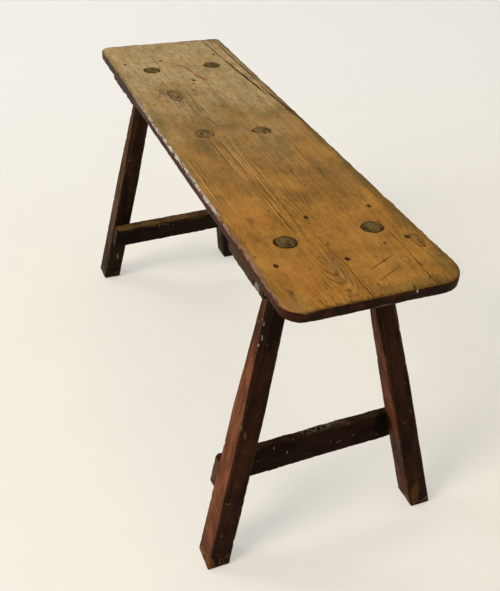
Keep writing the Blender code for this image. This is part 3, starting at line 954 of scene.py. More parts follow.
@dataclass(frozen=True)
class WornPine:
    """The seat: worn golden pine with an arched figure on top, and dark paint on its sides and underside."""

    effects: Effects
    nails: Sequence[tuple[float, float]]
    light: Colour = shade(180, 125, 52)
    dark: Colour = shade(106, 69, 23)
    # Far-end colours, paler and greyer: painted sheen.
    far_sheen_light: Colour = shade(198, 175, 128)
    far_sheen_dark: Colour = shade(122, 101, 64)
    olive: Colour = shade(106, 84, 42)
    grime: Colour = shade(94, 66, 28)
    far_sheen_grime: Colour = shade(104, 82, 42)
    honey: Colour = shade(196, 140, 64)
    grain_highlight: Colour = shade(200, 160, 92)
    speck: Colour = shade(66, 44, 20)
    highlight_line_colour: Colour = shade(196, 154, 92)
    edge_grime: Colour = shade(62, 48, 20)
    paint: Colour = shade(31, 17, 8)
    brown: Colour = shade(60, 32, 17)
    red_paint: Colour = shade(72, 30, 16)
    pale: Colour = shade(184, 176, 164)
    near_pale: Colour = shade(126, 98, 84)
    bare_corner: Colour = shade(136, 98, 54)
    bare_chip: Colour = shade(146, 88, 44)
    knots: tuple[tuple[float, ...], ...] = ((-0.1917, -0.0531, 0.015, 0.007), (0.3510, 0.1010, 0.010, 0.004))
    clearings: tuple[tuple[float, ...], ...] = (
        (0.380, -0.034, 0.075, 0.030),
        (-0.190, -0.055, 0.060, 0.026),
        (0.085, -0.034, 0.100, 0.022),
        (0.090, 0.066, 0.080, 0.014),
    )

    def make(self) -> Material:
        """The material: rings, fibres, uneven age, painted highlights and sheen, then the marks, and paint
        below the arris.

        Returns:
            The finished material.
        """
        surface = Surface("worn_pine", 0.04)
        point, patch = surface.point, self.effects.patch
        level = vector("SUBTRACT", point, (0, 0, SIZES.seat_top))
        x, y, lift = level.parts()
        depth = lift * -1.0

        bend: Value = 0.0
        for knot_x, knot_y, reach, rise in self.knots:
            bend = self.nearness(level, knot_x, knot_y, reach * 1.9, reach).scaled(rise * 2.2, bend)
        pith = {"Pith_Side": -0.036, "Pith_Depth": 0.009, "Dive": 0.022}
        rings = self.effects.rings(Point=level, **pith, Spacing=0.0034, Wander=0.009, Bend=bend)
        fibre = self.effects.fibre(Point=point)
        late = rings["Late"] * rings["Year"].scaled(0.7, 0.3)
        clear = point.stretched(5, 22, 22).noise(1, 3).step(0.42, 0.68) * 0.7
        for clearing in self.clearings:
            clear = calc("MAXIMUM", clear, self.nearness(level, *clearing))
        figure = late * clear.scaled(0.58, 0.13)
        mottle = point.stretched(90, 260, 260).noise(1, 5, 0.72)
        tone = fibre["Band"].step(0.68, 0.34).scaled(0.20, figure)
        tone = fibre["Streak"].step(0.64, 0.38).scaled(0.28, tone)
        tone = mottle.step(0.38, 0.66).scaled(0.34, tone, use_clamp=True)
        broad = patch(point, 10.0, 0.5, 0.14)
        # Towards the far end the seat turns paler and greyer: painted sheen.
        away = broad.scaled(0.10, x).step(0.30, -0.24)
        light = mixed(away, self.light, self.far_sheen_light)
        colour = mixed(tone, light, mixed(away, self.dark, self.far_sheen_dark))
        middle = x.step(0.30, 0.12) * x.step(-0.30, -0.08)
        colour = colour.toward(self.olive, middle.scaled(0.32, broad * 0.34))
        moved = vector("ADD", point, (3, 1, 0)).stretched(0.5, 1, 1)
        grimy = patch(moved, 64.0, 0.42, 0.07)
        colour = colour.toward(mixed(away, self.grime, self.far_sheen_grime), grimy, 0.32)
        sunny = patch(vector("ADD", point, (5, 2, 0)), 16.0, 0.42, 0.12)
        colour = colour.toward(self.honey, sunny * away.scaled(-0.2, 0.34))
        # Pale streaks along the grain: painted highlights on raised grain.
        colour = colour.toward(self.grain_highlight, fibre["Streak"].step(0.60, 0.74) * clear, 0.40)
        colour = colour.toward(DARK_LINE, fibre["Pores"], 0.6)
        specks = self.effects.specks(Point=point.stretched(0.6, 1, 1), Scale=150.0, Share=0.16)["Mask"]
        colour = colour.toward(self.speck, specks, 0.6)

        colour, sunk = self.marked(level, colour)
        colour = self.painted_edges(point, colour, (x, y, depth))
        height = mottle.scaled(0.5, late.scaled(0.35, fibre["Streak"] * 0.8))
        rough = sunk.scaled(0.25, tone.scaled(0.18, 0.42))
        return surface.finish(Base_Color=colour, Roughness=rough, Normal=height.bump(0.0005))

    def nearness(self, level: Wire, x: float, y: float, long: float, wide: float) -> Wire:
        """How near the top is to one of its places, by the half sizes of that place."""
        place = SpotMark((x, y, 0.0), (long, wide, 0.008), ragged=0.0)
        return self.effects.stain(level, 0.0, place, "Nearness")

    def marked(self, level: Wire, colour: Wire) -> tuple[Wire, Wire]:
        """Adds the stains, painted shade at two tenon holes, cracks, scratches, painted highlights and nail
        stains.

        Args:
            level: Where it is read, from the middle of the seat's top.
            colour: The colour so far.

        Returns:
            The colour, and the mask of the dark lines.
        """
        waver = (level.noise(38, 2) - 0.5) * 0.0032
        wavy = vector("ADD", level, derived("CombineXYZ", {1: waver}))
        torn = level.noise(220, 4, 0.65) - 0.5
        rusted = stains(RUST_STAIN, *((x / MM, y / MM, 4.6, 3.3, 0.85, 0.2) for x, y in self.nails))
        for group in (*STAINS_AND_SHADE, rusted):
            colour = colour.toward(group[0].colour, self.stained(wavy, torn, group, "Mask"))
        colour = colour.toward(DARK_LINE, self.stained(wavy, torn, KNOT_LOOPS, "Loop"))
        # The cracks are also cut into the seat; their dark lines are dirt and painted shade. The other lines
        # are scratches and dark grain.
        sunk = self.drawn((level, wavy), CRACKS + FINE_LINES + FAN_LINES)
        colour = colour.toward(DARK_LINE, sunk)
        # The pale lines are painted highlights.
        colour = colour.toward(self.highlight_line_colour, self.drawn((level, wavy), PAINTED_HIGHLIGHTS))
        return colour.toward(RUBBED_RED, self.drawn((level, wavy), RUBBED_LINES)), sunk

    def stained(self, place: Wire, torn: Wire, marks: Sequence[SpotMark], part: str) -> Wire:
        """Several spots as one mask.

        Args:
            place: Where the spots are read.
            torn: The noise that tears them.
            marks: The spots.
            part: The output of the spot that is used.

        Returns:
            The mask.
        """
        mask: Value = 0.0
        for mark in marks:
            mask = calc("MAXIMUM", mask, self.effects.stain(place, torn, mark, part) * mark.strength)
        return mask

    def drawn(self, places: tuple[Wire, Wire], marks: Sequence[LineMark]) -> Wire:
        """Several lines as one mask, a little under the top.

        Args:
            places: Where straight lines and wavy ones are read.
            marks: The lines.

        Returns:
            The mask.
        """
        mask: Value = 0.0
        for mark in marks:
            start, finish = ((x * MM, y * MM, -0.0003) for x, y in (mark.start, mark.finish))
            run = {"Point": places[mark.wavy], "Start": start, "Finish": finish, "Width": mark.width * MM}
            mask = calc("MAXIMUM", mask, self.effects.line(**run)["Mask"] * mark.strength)
        return mask

    def painted_edges(self, point: Wire, colour: Wire, place: Sequence[Wire]) -> Wire:
        """Adds the dark paint of the sides, the grime beside it and the pale worn left arris.

        Args:
            point: Where it is read.
            colour: The colour so far.
            place: X, Y and the depth below the seat's top.

        Returns:
            The colour.
        """
        x, y, depth = place
        torn = point.stretched(50, 150, 150).noise(1, 5, 0.68) - 0.5
        aside = SIZES.seat_width / 2 - calc("ABSOLUTE", y)
        inset = calc("MINIMUM", aside, SIZES.seat_length / 2 - calc("ABSOLUTE", x))
        grime = torn.scaled(0.022, inset).step(y.step(0.0, 0.1).scaled(0.010, 0.006), 0.0)
        colour = colour.toward(self.edge_grime, grime, 0.68)
        painted = torn.scaled(0.0040, depth).step(0.0010, 0.0020)
        coat = point.stretched(14, 60, 90).noise(1, 4, 0.6).step(0.4, 0.68)
        colour = colour.toward(mixed(coat, self.paint, self.brown), painted)
        reddish = y.step(-0.112, -0.122) * x.step(0.05, 0.35)
        colour = colour.toward(self.red_paint, reddish * painted, 0.4)
        wider = x.step(0.20, 0.30).scaled(-0.0016, y)
        left = torn.scaled(0.007, wider).step(-0.1206, -0.1228)
        rub = left * torn.scaled(0.0080, depth).step(0.0052, 0.0028)
        shown = point.stretched(60, 200, 200).noise(1, 5, 0.74).step(0.42, 0.57)
        pale = mixed(x.step(0.16, 0.27), self.pale, self.near_pale)
        colour = colour.toward(pale, rub * (shown * (x.step(-0.30, 0.0) * x.step(0.46, 0.42))), 0.9)
        corner = x.step(0.415, 0.44) * y.step(-0.085, -0.105)
        worn = corner * torn.scaled(0.004, depth).step(0.0036, 0.0016)
        colour = colour.toward(self.bare_corner, worn, 0.7)
        chips = point.stretched(40, 140, 140).noise(1, 3, 0.6).step(0.60, 0.66)
        colour = colour.toward(self.bare_chip, rub * chips, 0.6)
        for speck in END_SPECKS:
            colour = colour.toward(speck.colour, self.effects.stain(point, torn, speck), speck.strength)
        return colour


@dataclass(frozen=True)
class OldPaint:
    """Dark old paint on a leg, a stretcher or a cleat, rubbed at the arrises, with grime and specks."""

    effects: Effects
    name: str
    coat: Colour
    # the paler, redder colour of faces towards the left window: painted light
    lit_and_faded: Colour
    bare: Colour
    marks: Sequence[SpotMark]
    dust: float = 0.0
    worn_foot: float = 0.0
    # This grime colour is also laid over the far pieces as painted shade.
    grime: Colour = shade(16, 10, 7)
    far_lit_and_faded: Colour = shade(100, 74, 44)
    laid_dust: Colour = shade(98, 70, 42)
    speck: Colour = shade(140, 122, 94)
    bare_foot: Colour = shade(118, 80, 44)

    def make(self) -> Material:
        """The material: faces to the window are redder and paler as painted light, far pieces darker as
        painted shade; dust on top.

        Returns:
            The finished material.
        """
        surface = Surface(self.name, 0.03)
        timber, point, patch = surface.timber, surface.point, self.effects.patch
        _, facing_y, facing_z = surface.facing.parts()
        streak = self.effects.fibre(Point=timber, Finer=0.6)["Streak"]
        fade = patch(timber.stretched(0.25, 1, 1), 26.0, 0.5, 0.16)
        x, y, z = point.parts()
        # Faces that look to the left window (-Y) take the paler colour, most on near and left pieces: painted
        # light, with random patches of fading.
        sunlit = x.step(-0.2, 0.2).scaled(0.42, 0.38)
        sunlit = y.step(-0.02, 0.02).scaled(-0.42, 1.0) * sunlit
        lit_and_faded = fade.scaled(0.18, facing_y.step(-0.80, -0.95) * sunlit)
        # Far pieces (X below 0) are darkened towards the grime colour: painted shade; their lit faces turn
        # browner.
        away = x.step(0.1, -0.1)
        browner = mixed(away * 0.6, self.lit_and_faded, self.far_lit_and_faded)
        colour = mixed(lit_and_faded, mixed(away * 0.85, self.coat, self.grime), browner)
        colour = colour.toward(self.grime, streak.step(0.45, 0.75), 0.32)
        dirt = patch(timber.stretched(0.4, 1, 1), 46.0, 0.42, 0.10)
        colour = colour.toward(self.grime, dirt, 0.48)
        rubbed = self.effects.rubbed(Point=point, Arris=surface.arris, Scale=90.0, Amount=0.24)["Mask"]
        colour = colour.toward(self.bare, rubbed, 0.75)
        if self.dust:
            laid = patch(point, 44.0, 0.5, 0.12).scaled(0.6, 0.4)
            upward = facing_z.step(0.80, 0.96) * away.scaled(0.7, self.dust)
            colour = colour.toward(self.laid_dust, upward * laid)
        if self.worn_foot:
            colour = self.footed(point, z, colour)
        torn = point.noise(260, 3, 0.65) - 0.5
        for mark in self.marks:
            colour = colour.toward(mark.colour, self.effects.stain(point, torn, mark), mark.strength)
        specks = self.effects.specks(Point=point, Scale=210.0, Share=0.06)["Mask"]
        colour = colour.toward(self.speck, specks, 0.5)
        height = dirt.scaled(0.25, rubbed.scaled(-0.6, streak))
        rough = rubbed.scaled(0.12, dirt.scaled(0.15, 0.55))
        return surface.finish(Base_Color=colour, Roughness=rough, Normal=height.bump(0.0003))

    def footed(self, point: Wire, height: Wire, colour: Wire) -> Wire:
        """Adds a foot's grime, its worn patches and the dark edge of its sole.

        Args:
            point: Where it is read.
            height: The height over the floor.
            colour: The colour so far.

        Returns:
            The colour.
        """
        torn = point.noise(110, 5, 0.7) - 0.5
        low = torn.scaled(3.6 * self.worn_foot, height)
        dark = low.step(3.4 * self.worn_foot, 1.2 * self.worn_foot)
        colour = colour.toward(self.grime, dark, 0.5)
        worn = low.step(1.1 * self.worn_foot, 0.2 * self.worn_foot) * torn.step(0.06, -0.12)
        colour = colour.toward(self.bare_foot, worn, 0.7)
        return colour.toward(self.grime, height.step(0.0045, 0.0015), 0.85)


@dataclass(frozen=True)
class EndGrain:
    """The sawn end of a tenon or a plug: faint rings, mottling and old dirt."""

    effects: Effects
    name: str
    light: Colour
    dark: Colour
    spacing: float = 0.0016
    rim: float = 0.55
    dirt: Colour = shade(38, 29, 14)
    rim_dirt_and_shade: Colour = shade(34, 25, 13)

    def make(self) -> Material:
        """The material.

        Returns:
            The finished material.
        """
        surface = Surface(self.name, 0.05)
        point = surface.point
        _, y, z = surface.timber.parts()
        flat = derived("CombineXYZ", {1: y, 2: z})
        pith = {"Pith_Side": 0.019, "Pith_Depth": 0.016}
        late = self.effects.rings(Point=flat, **pith, Spacing=self.spacing, Wander=0.0015)["Late"]
        mottle = point.noise(240, 4, 0.65)
        tone = late.scaled(0.4, mottle.step(0.35, 0.65) * 0.6, use_clamp=True)
        dirt = self.effects.patch(point.stretched(1, 2.6, 1), 46.0, 0.42, 0.06)
        colour = mixed(tone, self.light, self.dark).toward(self.dirt, dirt, 0.75)
        # A darker rim at the end's arris: dirt, and on the tenons the painted shade of the gap round them.
        colour = colour.toward(self.rim_dirt_and_shade, surface.arris, self.rim)
        height = late.scaled(0.5, mottle)
        return surface.finish(Base_Color=colour, Roughness=0.62, Normal=height.bump(0.0005))


@dataclass(frozen=True)
class RustyIron:
    """The rusty iron of a nail."""

    effects: Effects
    iron: Colour = shade(24, 12, 9)
    rust: Colour = shade(52, 22, 14)

    def make(self) -> Material:
        """The material.

        Returns:
            The finished material.
        """
        surface = Surface("rusty_iron", 0.2)
        rust = self.effects.patch(surface.point, 420.0, 0.5, 0.12)
        return surface.finish(
            Base_Color=mixed(rust, self.iron, self.rust),
            Roughness=rust.scaled(0.15, 0.75),
            Metallic=rust.scaled(-0.1, 0.12),
            Normal=surface.point.noise(1400, 3, 0.6).bump(0.0004),
        )


class Finishes:
    """Every material of the bench."""

    def __init__(self, nails: Sequence[tuple[float, float]]) -> None:
        """Makes the effects and then the finishes from them.

        Args:
            nails: Where the nails stand on the seat.
        """
        effects = Effects()
        # Each paint lists its coat, its paler colour for faces towards the left window, which is painted
        # light, and its bare wood.
        leg = (shade(35, 19, 11), shade(114, 67, 43), shade(66, 42, 27))
        stretcher = (shade(34, 19, 11), shade(52, 31, 18), shade(70, 48, 30))
        cleat = (shade(38, 27, 19), shade(66, 53, 38), shade(84, 70, 54))
        tenon, plug = (shade(112, 90, 42), shade(52, 40, 16)), (shade(126, 99, 60), shade(92, 70, 40))
        self.pine = WornPine(effects, nails).make()
        self.leg = OldPaint(effects, "leg_paint", *leg, LEG_MARKS, worn_foot=0.018).make()
        self.stretcher = OldPaint(effects, "stretcher_paint", *stretcher, STRETCHER_MARKS, dust=0.2).make()
        self.cleat = OldPaint(effects, "cleat_paint", *cleat, CLEAT_MARKS).make()
        self.tenon = EndGrain(effects, "tenon_end_grain", *tenon).make()
        self.plug = EndGrain(effects, "plug_end_grain", *plug, spacing=0.0021, rim=0.12).make()
        self.iron = RustyIron(effects).make()


# Pieces


class Piece:
    """A piece of the bench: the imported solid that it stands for, its slot there and its materials."""

    node: str
    slot: str
    dressing: tuple[str, ...]

    @property
    def name(self) -> str:
        """The name of the piece."""
        return self.node + "_worn"

    def mesh(self) -> Mesh:
        """The piece's mesh, in place."""
        raise NotImplementedError

    def build(self, finishes: Finishes) -> None:
        """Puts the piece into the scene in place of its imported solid.

        Args:
            finishes: The bench's materials.
        """
        mesh = self.mesh()
        for finish in self.dressing:
            mesh.materials.append(getattr(finishes, finish))
        piece = bpy.data.objects.new(self.name, mesh)
        bpy.context.scene.collection.objects.link(piece)
        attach(piece, "root")
        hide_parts(self.node)
        LOG.info("%s: %d faces", self.name, len(mesh.polygons))


def seen_from_above(node: str) -> tuple[Array, float]:
    """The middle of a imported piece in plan, and half its reach along X."""
    low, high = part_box(node)
    return np.array([low.x + high.x, low.y + high.y]) / 2, (high.x - low.x) / 2


@dataclass(frozen=True)
class EndSizes:
    """Where the legs of one end of the bench stand and where their tenons come out."""

    end: End
    foot: tuple[float, float]
    head: tuple[float, float]
    outlet: tuple[float, float]
    cleat_breadth: float
    cleat_inset: float
    stretcher_height: float
    stretcher_depth: float
    stretcher_thickness: float
    stretcher_rise: float

    @property
    def name(self) -> str:
        """The word for this end in the names of its pieces."""
        return self.end.name.lower()

    def axis(self, height: Array | float, side: Side = Side.RIGHT) -> Array:
        """X and Y of a leg's axis.

        Args:
            height: The height over the floor, or several.
            side: The leg's side of the bench.

        Returns:
            The place, or one for each height.
        """
        foot, head = np.array(self.foot), np.array(self.head)
        share = np.asarray(height)[..., None] / SIZES.seat_top
        return (foot + (head - foot) * share) * (self.end.value, side.value)

    def tenon_ends(self, side: Side) -> tuple[Array, Array]:
        """X and Y of a tenon's line at the leg's shoulder, and at the seat's top."""
        return self.axis(SIZES.shoulder, side), np.array(self.outlet) * (self.end.value, side.value)


@dataclass(frozen=True)
class BenchSizes:
    """The sizes that several pieces share. A leg's half sizes are its depth's and its width's."""

    seat_length: float = 0.915
    seat_width: float = 0.250
    seat_top: float = 0.501
    seat_thickness: float = 0.0165
    cleat_top: float = 0.4842
    cleat_under: float = 0.4680
    shoulder: float = 0.4677
    tenon_end: float = 0.5025
    tenon_radius: float = 0.0145
    foot_half: tuple[float, float] = (0.02175, 0.0176)
    shoulder_half: tuple[float, float] = (0.01515, 0.0168)

    def leg_half(self, height: Array | float) -> Array:
        """A leg's half sizes at a height. They taper evenly from foot to shoulder."""
        share = np.asarray(height)[..., None] / self.shoulder
        return np.array(self.foot_half) * (1 - share) + np.array(self.shoulder_half) * share


SIZES = BenchSizes()
NEAR = EndSizes(
    end=End.NEAR,
    foot=(0.3945, 0.179),
    head=(0.315, 0.05925),
    outlet=(0.313, 0.06325),
    cleat_breadth=0.126,
    cleat_inset=0.0015,
    stretcher_height=0.1165,
    stretcher_depth=0.049,
    stretcher_thickness=0.0164,
    stretcher_rise=0.007,
)
FAR = EndSizes(
    end=End.FAR,
    foot=(0.4028, 0.1445),
    head=(0.3182, 0.0632),
    outlet=(0.3135, 0.0585),
    cleat_breadth=0.146,
    cleat_inset=0.0055,
    stretcher_height=0.111,
    stretcher_depth=0.045,
    stretcher_thickness=0.0203,
    stretcher_rise=0.011,
)


@dataclass(frozen=True)
class Leg(Piece):
    """A raked, tapered leg with stopped chamfers, and the round tenon at its head."""

    slot = "leg_paint"
    dressing = ("leg", "tenon")

    sizes: EndSizes
    side: Side
    seed: int
    arris: float = 0.0017
    chamfer: float = 0.0105
    chamfer_start: float = 0.262
    sole_ease: float = 0.0045
    tenon_ease: float = 0.0016
    rim_ease: float = 0.0012
    shoulder_ease: float = 0.0006
    flatness: float = 0.86
    skin: float = 0.0003
    waves: float = 0.00028
    tool_marks: float = 0.00016
    dents: float = 0.0022
    arris_fade: float = 0.0022
    sole_fade: float = 0.004

    @property
    def node(self) -> str:
        """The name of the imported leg."""
        return f"{self.sizes.name}_{self.side.name.lower()}_leg"

    def outline(self, half: Array, chamfer: Array, crispness: Array) -> tuple[Array, Array]:
        """Level sections of the leg about its axis.

        Each corner runs from one face to the next as chamfer times (cos to a power, sin to the same
        power) of an angle: a power of 1 makes a round arris and a power of 2 a flat chamfer.

        Args:
            half: Half the depth and half the width of each section.
            chamfer: The size of each section's corners.
            crispness: The power at each section.

        Returns:
            The sections, by points by two, and each point's nearness to an arris.
        """
        angle = np.linspace(0, math.pi / 2, 11)
        turn = np.stack([np.cos(angle), np.sin(angle)], axis=-1)
        near = chamfer[:, None, None] * turn ** crispness[:, None, None]
        inner = (half - chamfer[:, None])[:, None]
        corners = []
        for signs in ((1, 1), (-1, 1), (-1, -1), (1, -1)):
            corner = signs * (inner + near)
            corners.append(corner if signs[0] * signs[1] > 0 else corner[:, ::-1])
        share = np.linspace(0, 1, 11)[1:-1][None, :, None]
        pieces = []
        for corner, following in zip(corners, corners[1:] + corners[:1]):
            pieces += [corner, corner[:, -1:] + (following[:, :1] - corner[:, -1:]) * share]
        sections = np.concatenate(pieces, axis=1)
        marks = np.concatenate([corner[:, [0, -1]] for corner in corners], axis=1)
        gaps = np.linalg.norm(sections[:, :, None] - marks[:, None], axis=-1).min(axis=2)
        return sections, np.exp(-gaps / self.arris_fade)

    def shell(self) -> Shell:
        """The leg's skin, in place.

        Returns:
            The shell.
        """
        turn = np.linspace(0, math.pi / 2, 7)
        high = np.linspace(self.sole_ease, SIZES.shoulder, 150)[1:]
        heights = np.concatenate([self.sole_ease * (1 - np.cos(turn)), high])
        inset = np.concatenate([self.sole_ease * (1 - np.sin(turn)), np.zeros(len(high))])
        inset[-1] = self.shoulder_ease
        rise = np.clip((heights - self.chamfer_start) / (SIZES.shoulder - self.chamfer_start), 0, 1)
        chamfer = self.arris + (self.chamfer - self.arris) * rise
        crispness = 1 + self.flatness * ease_between(rise, 0.0, 0.12)
        sections, near = self.outline(SIZES.leg_half(heights) - inset[:, None], chamfer, crispness)

        flat = raised(sections, heights)
        places = flat.reshape(-1, 3)
        uneven = self.waves * ripple(places, (0.02, 0.02, 0.07), self.seed)
        uneven += self.tool_marks * ripple(places, (0.012, 0.012, 0.018), self.seed + 1)
        dents = np.clip(ripple(places, (0.03, 0.03, 0.016), self.seed + 2) - 0.55, 0, 1)
        uneven -= self.dents * dents * near.ravel()
        uneven = np.minimum(uneven, self.skin).reshape(near.shape) - self.skin
        spokes = sections / np.linalg.norm(sections, axis=-1, keepdims=True)
        sections = sections + spokes * uneven[..., None]

        body = raised(sections + self.sizes.axis(heights, self.side)[:, None], heights)
        tenon_rings, tenon_timber, tenon_near = self.tenon(sections[-1])
        timber = np.concatenate([np.roll(flat, 1, axis=-1), tenon_timber])
        near = np.concatenate([near, tenon_near])
        made = closed_loft(np.concatenate([body, tenon_rings]))
        made.timber = np.concatenate([timber.reshape(-1, 3), timber[[0, -1]].mean(axis=1)])
        made.timber[:, 1:] += 0.11 * self.seed
        sole = np.exp(-made.points[:-2, 2] / self.sole_fade)
        made.arris = np.concatenate([np.maximum(near.ravel(), 0.8 * sole), [0, 0]])
        made.second = made.points[:, 2] > SIZES.shoulder + 0.012
        return made

    def tenon(self, shoulder: Array) -> tuple[Array, Array, Array]:
        """The rings of the tenon, from the shoulder to the middle of its domed end.

        Args:
            shoulder: The leg's last section, about its axis.

        Returns:
            The rings in place, their timber places and their nearness to the rim.
        """
        spoke = shoulder / np.array(SIZES.shoulder_half)
        angle = np.arctan2(spoke[:, 1], spoke[:, 0])
        turn = np.stack([np.cos(angle), np.sin(angle)], axis=-1)
        root, outlet = self.sizes.tenon_ends(self.side)
        ease, radius, end = self.tenon_ease, SIZES.tenon_radius, SIZES.tenon_end
        dome = np.linspace(0, math.pi / 2, 9)[1:]
        crown = np.array([0.35, 0.62, 0.8, 0.92, 0.98, 1.0])
        inner = np.array([0.86, 0.7, 0.52, 0.34, 0.18, 0.06])
        shaft = np.linspace(SIZES.shoulder, end - ease, 10)
        rounded = end - ease + 0.55 * ease * np.sin(dome)
        levels = np.concatenate([shaft, rounded, end - 0.45 * ease + 0.45 * ease * crown])
        rim_radii = radius - self.rim_ease * (1 - np.cos(dome))
        radii = np.concatenate([np.full(10, radius), rim_radii, (radius - self.rim_ease) * inner])
        share = (levels - SIZES.shoulder) / (SIZES.seat_top - SIZES.shoulder)
        wavy = 1 + 0.018 * ripple(turn * 2, 1.7, self.seed + 7)
        offsets = turn[None] * radii[:, None, None] * wavy[None, :, None]
        centre = root + (outlet - root) * share[:, None]
        rings = raised(offsets + centre[:, None], levels)
        timber = np.concatenate([rings[..., 2:], offsets], axis=-1)
        rim = np.exp(-np.abs(np.hypot(offsets[..., 0], offsets[..., 1]) - radius) / 0.0016)
        return rings, timber, rim * (levels[:, None] > SIZES.seat_top - 0.002)

    def mesh(self) -> Mesh:
        """The leg and its tenon in one."""
        return self.shell().mesh(self.name, 32)


@dataclass(frozen=True)
class Hole:
    """A hole in the seat: its middle on the top, its half sizes there and below, and its lean."""

    centre: Array
    top_reach: tuple[float, float]
    low_reach: tuple[float, float]
    lean: Array | float = 0.0
    depth: float = 0.03
    flare: float = 0.004
    seed: int = 0

    def loft(self) -> Shell:
        """The tool that cuts it: ovals that narrow over the flare and then keep their size.

        Returns:
            The tool.
        """
        levels = np.array([-self.depth, -self.flare, -0.6 * self.flare, -0.3 * self.flare, 0, 0.003])
        widen = ease_between(levels, -self.flare, 0.0)[:, None]
        reach = np.array(self.low_reach) + (np.array(self.top_reach) - np.array(self.low_reach)) * widen
        oval = circle(40) * (1 + 0.05 * ripple(circle(40), 1.1, self.seed))[:, None]
        plan = oval[None] * reach[:, None] + self.centre + levels[:, None, None] * self.lean
        return closed_loft(raised(plan, levels + SIZES.seat_top))


def split_loft(mark: LineMark, seed: int) -> Shell:
    """The tool that cuts a crack: a wedge carried along a wavering line, thinner at its ends.

    Args:
        mark: Where the crack runs and its width.
        seed: The seed of its waver.

    Returns:
        The tool.
    """
    count, above, waver, open_from = 40, 0.002, 0.0006, 0.44
    share = np.linspace(0, 1, count)
    start, finish = np.array(mark.start) * MM, np.array(mark.finish) * MM
    line = start + (finish - start) * share[:, None]
    line[:, 1] += waver * ripple(line, (0.05, 1.0), seed)
    swell = np.clip(4 * share * (1 - share), 0.12, 1) ** 0.6
    swell = np.where(np.abs(line[:, 0]) > open_from, np.maximum(swell, 0.8), swell)
    half = mark.width * MM * 0.5 * swell * (1 + 0.3 * ripple(line, (0.012, 1.0), seed + 1))
    deep = CRACK_DEPTH * swell
    brim = half * (1 + above / deep)
    aside = line[:, 1:] + np.stack([brim, 0.12 * half, -0.12 * half, -brim], axis=1)
    level = np.full(count, above)
    lift = SIZES.seat_top + np.stack([level, -deep, -deep, level], axis=1)
    return closed_loft(np.stack([np.broadcast_to(line[:, :1], lift.shape), aside, lift], axis=-1))


@dataclass(frozen=True)
class Seat(Piece):
    """The plank seat with its holes, cracks and worn edges."""

    name = "seat_board"
    node = "seat_plank"
    slot = "worn_pine"
    dressing = ("pine",)

    nails: Sequence[str]
    plugs: Sequence[str]
    tenon_brim: tuple[float, float] = (0.0153, 0.0165)
    tenon_hole: tuple[float, float] = (0.0150, 0.0156)
    nail_brims: tuple[tuple[float, float], ...] = ((0.0044, 0.0036), (0.0042, 0.0032))
    nail_hole: tuple[float, float] = (0.0033, 0.0033)
    form: BoardForm = BoardForm(
        half_length=SIZES.seat_length / 2,
        half_width=SIZES.seat_width / 2,
        low=-SIZES.seat_thickness,
        high=0.0,
        corner_radii=(0.037, 0.013, 0.022, 0.029),
        top_ease=0.003,
        under_ease=0.0018,
        steps=(300, 84),
        unevenness=0.0004,
        seed=11,
    )

    def holes(self) -> list[Hole]:
        """The holes of the tenons and the plugs, and the hollows round the nails.

        Returns:
            The holes.
        """
        made = []
        for sizes in (NEAR, FAR):
            for side in Side:
                root, outlet = sizes.tenon_ends(side)
                lean = (outlet - root) / (SIZES.seat_top - SIZES.shoulder)
                seed = 40 + 2 * sizes.end.value + side.value
                middle = outlet + (0, side.value * 0.0006)
                made.append(Hole(middle, self.tenon_brim, self.tenon_hole, lean, seed=seed))
        for node in self.plugs:
            centre, reach = seen_from_above(node)
            made.append(Hole(centre, (reach + 0.0007,) * 2, (reach + 0.0002,) * 2, flare=0.002))
        for number, node in enumerate(self.nails):
            centre, _ = seen_from_above(node)
            brim = self.nail_brims[int(centre[0] > 0)]
            made.append(Hole(centre, brim, self.nail_hole, depth=0.012, flare=0.0026, seed=70 + number))
        return made

    def mesh(self) -> Mesh:
        """The board, less its holes and cracks.

        The cracks are cut by two tools in turn, because the parts of one tool must not overlap.

        Returns:
            The mesh.
        """
        shell = self.form.shell().moved(Matrix.Translation((0, 0, SIZES.seat_top)))
        shell.timber = shell.arris = None
        edge = np.array([SIZES.seat_length, SIZES.seat_width]) / 2 - 0.00005
        shell.points[:, :2] = np.clip(shell.points[:, :2], -edge, edge)
        holes = joined("seat_holes", [hole.loft() for hole in self.holes()])
        lofts = [split_loft(mark, 60 + number) for number, mark in enumerate(CRACKS)]
        splits = (joined("even_splits", lofts[::2]), joined("odd_splits", lofts[1::2]))
        mesh = cut(shell.mesh(self.name), (holes, *splits))
        if len(mesh.polygons) < 0.8 * len(shell.quads):
            raise ValueError("the cuts took the seat away: two cracks of one tool overlap")
        return smoothed(mesh, 36)


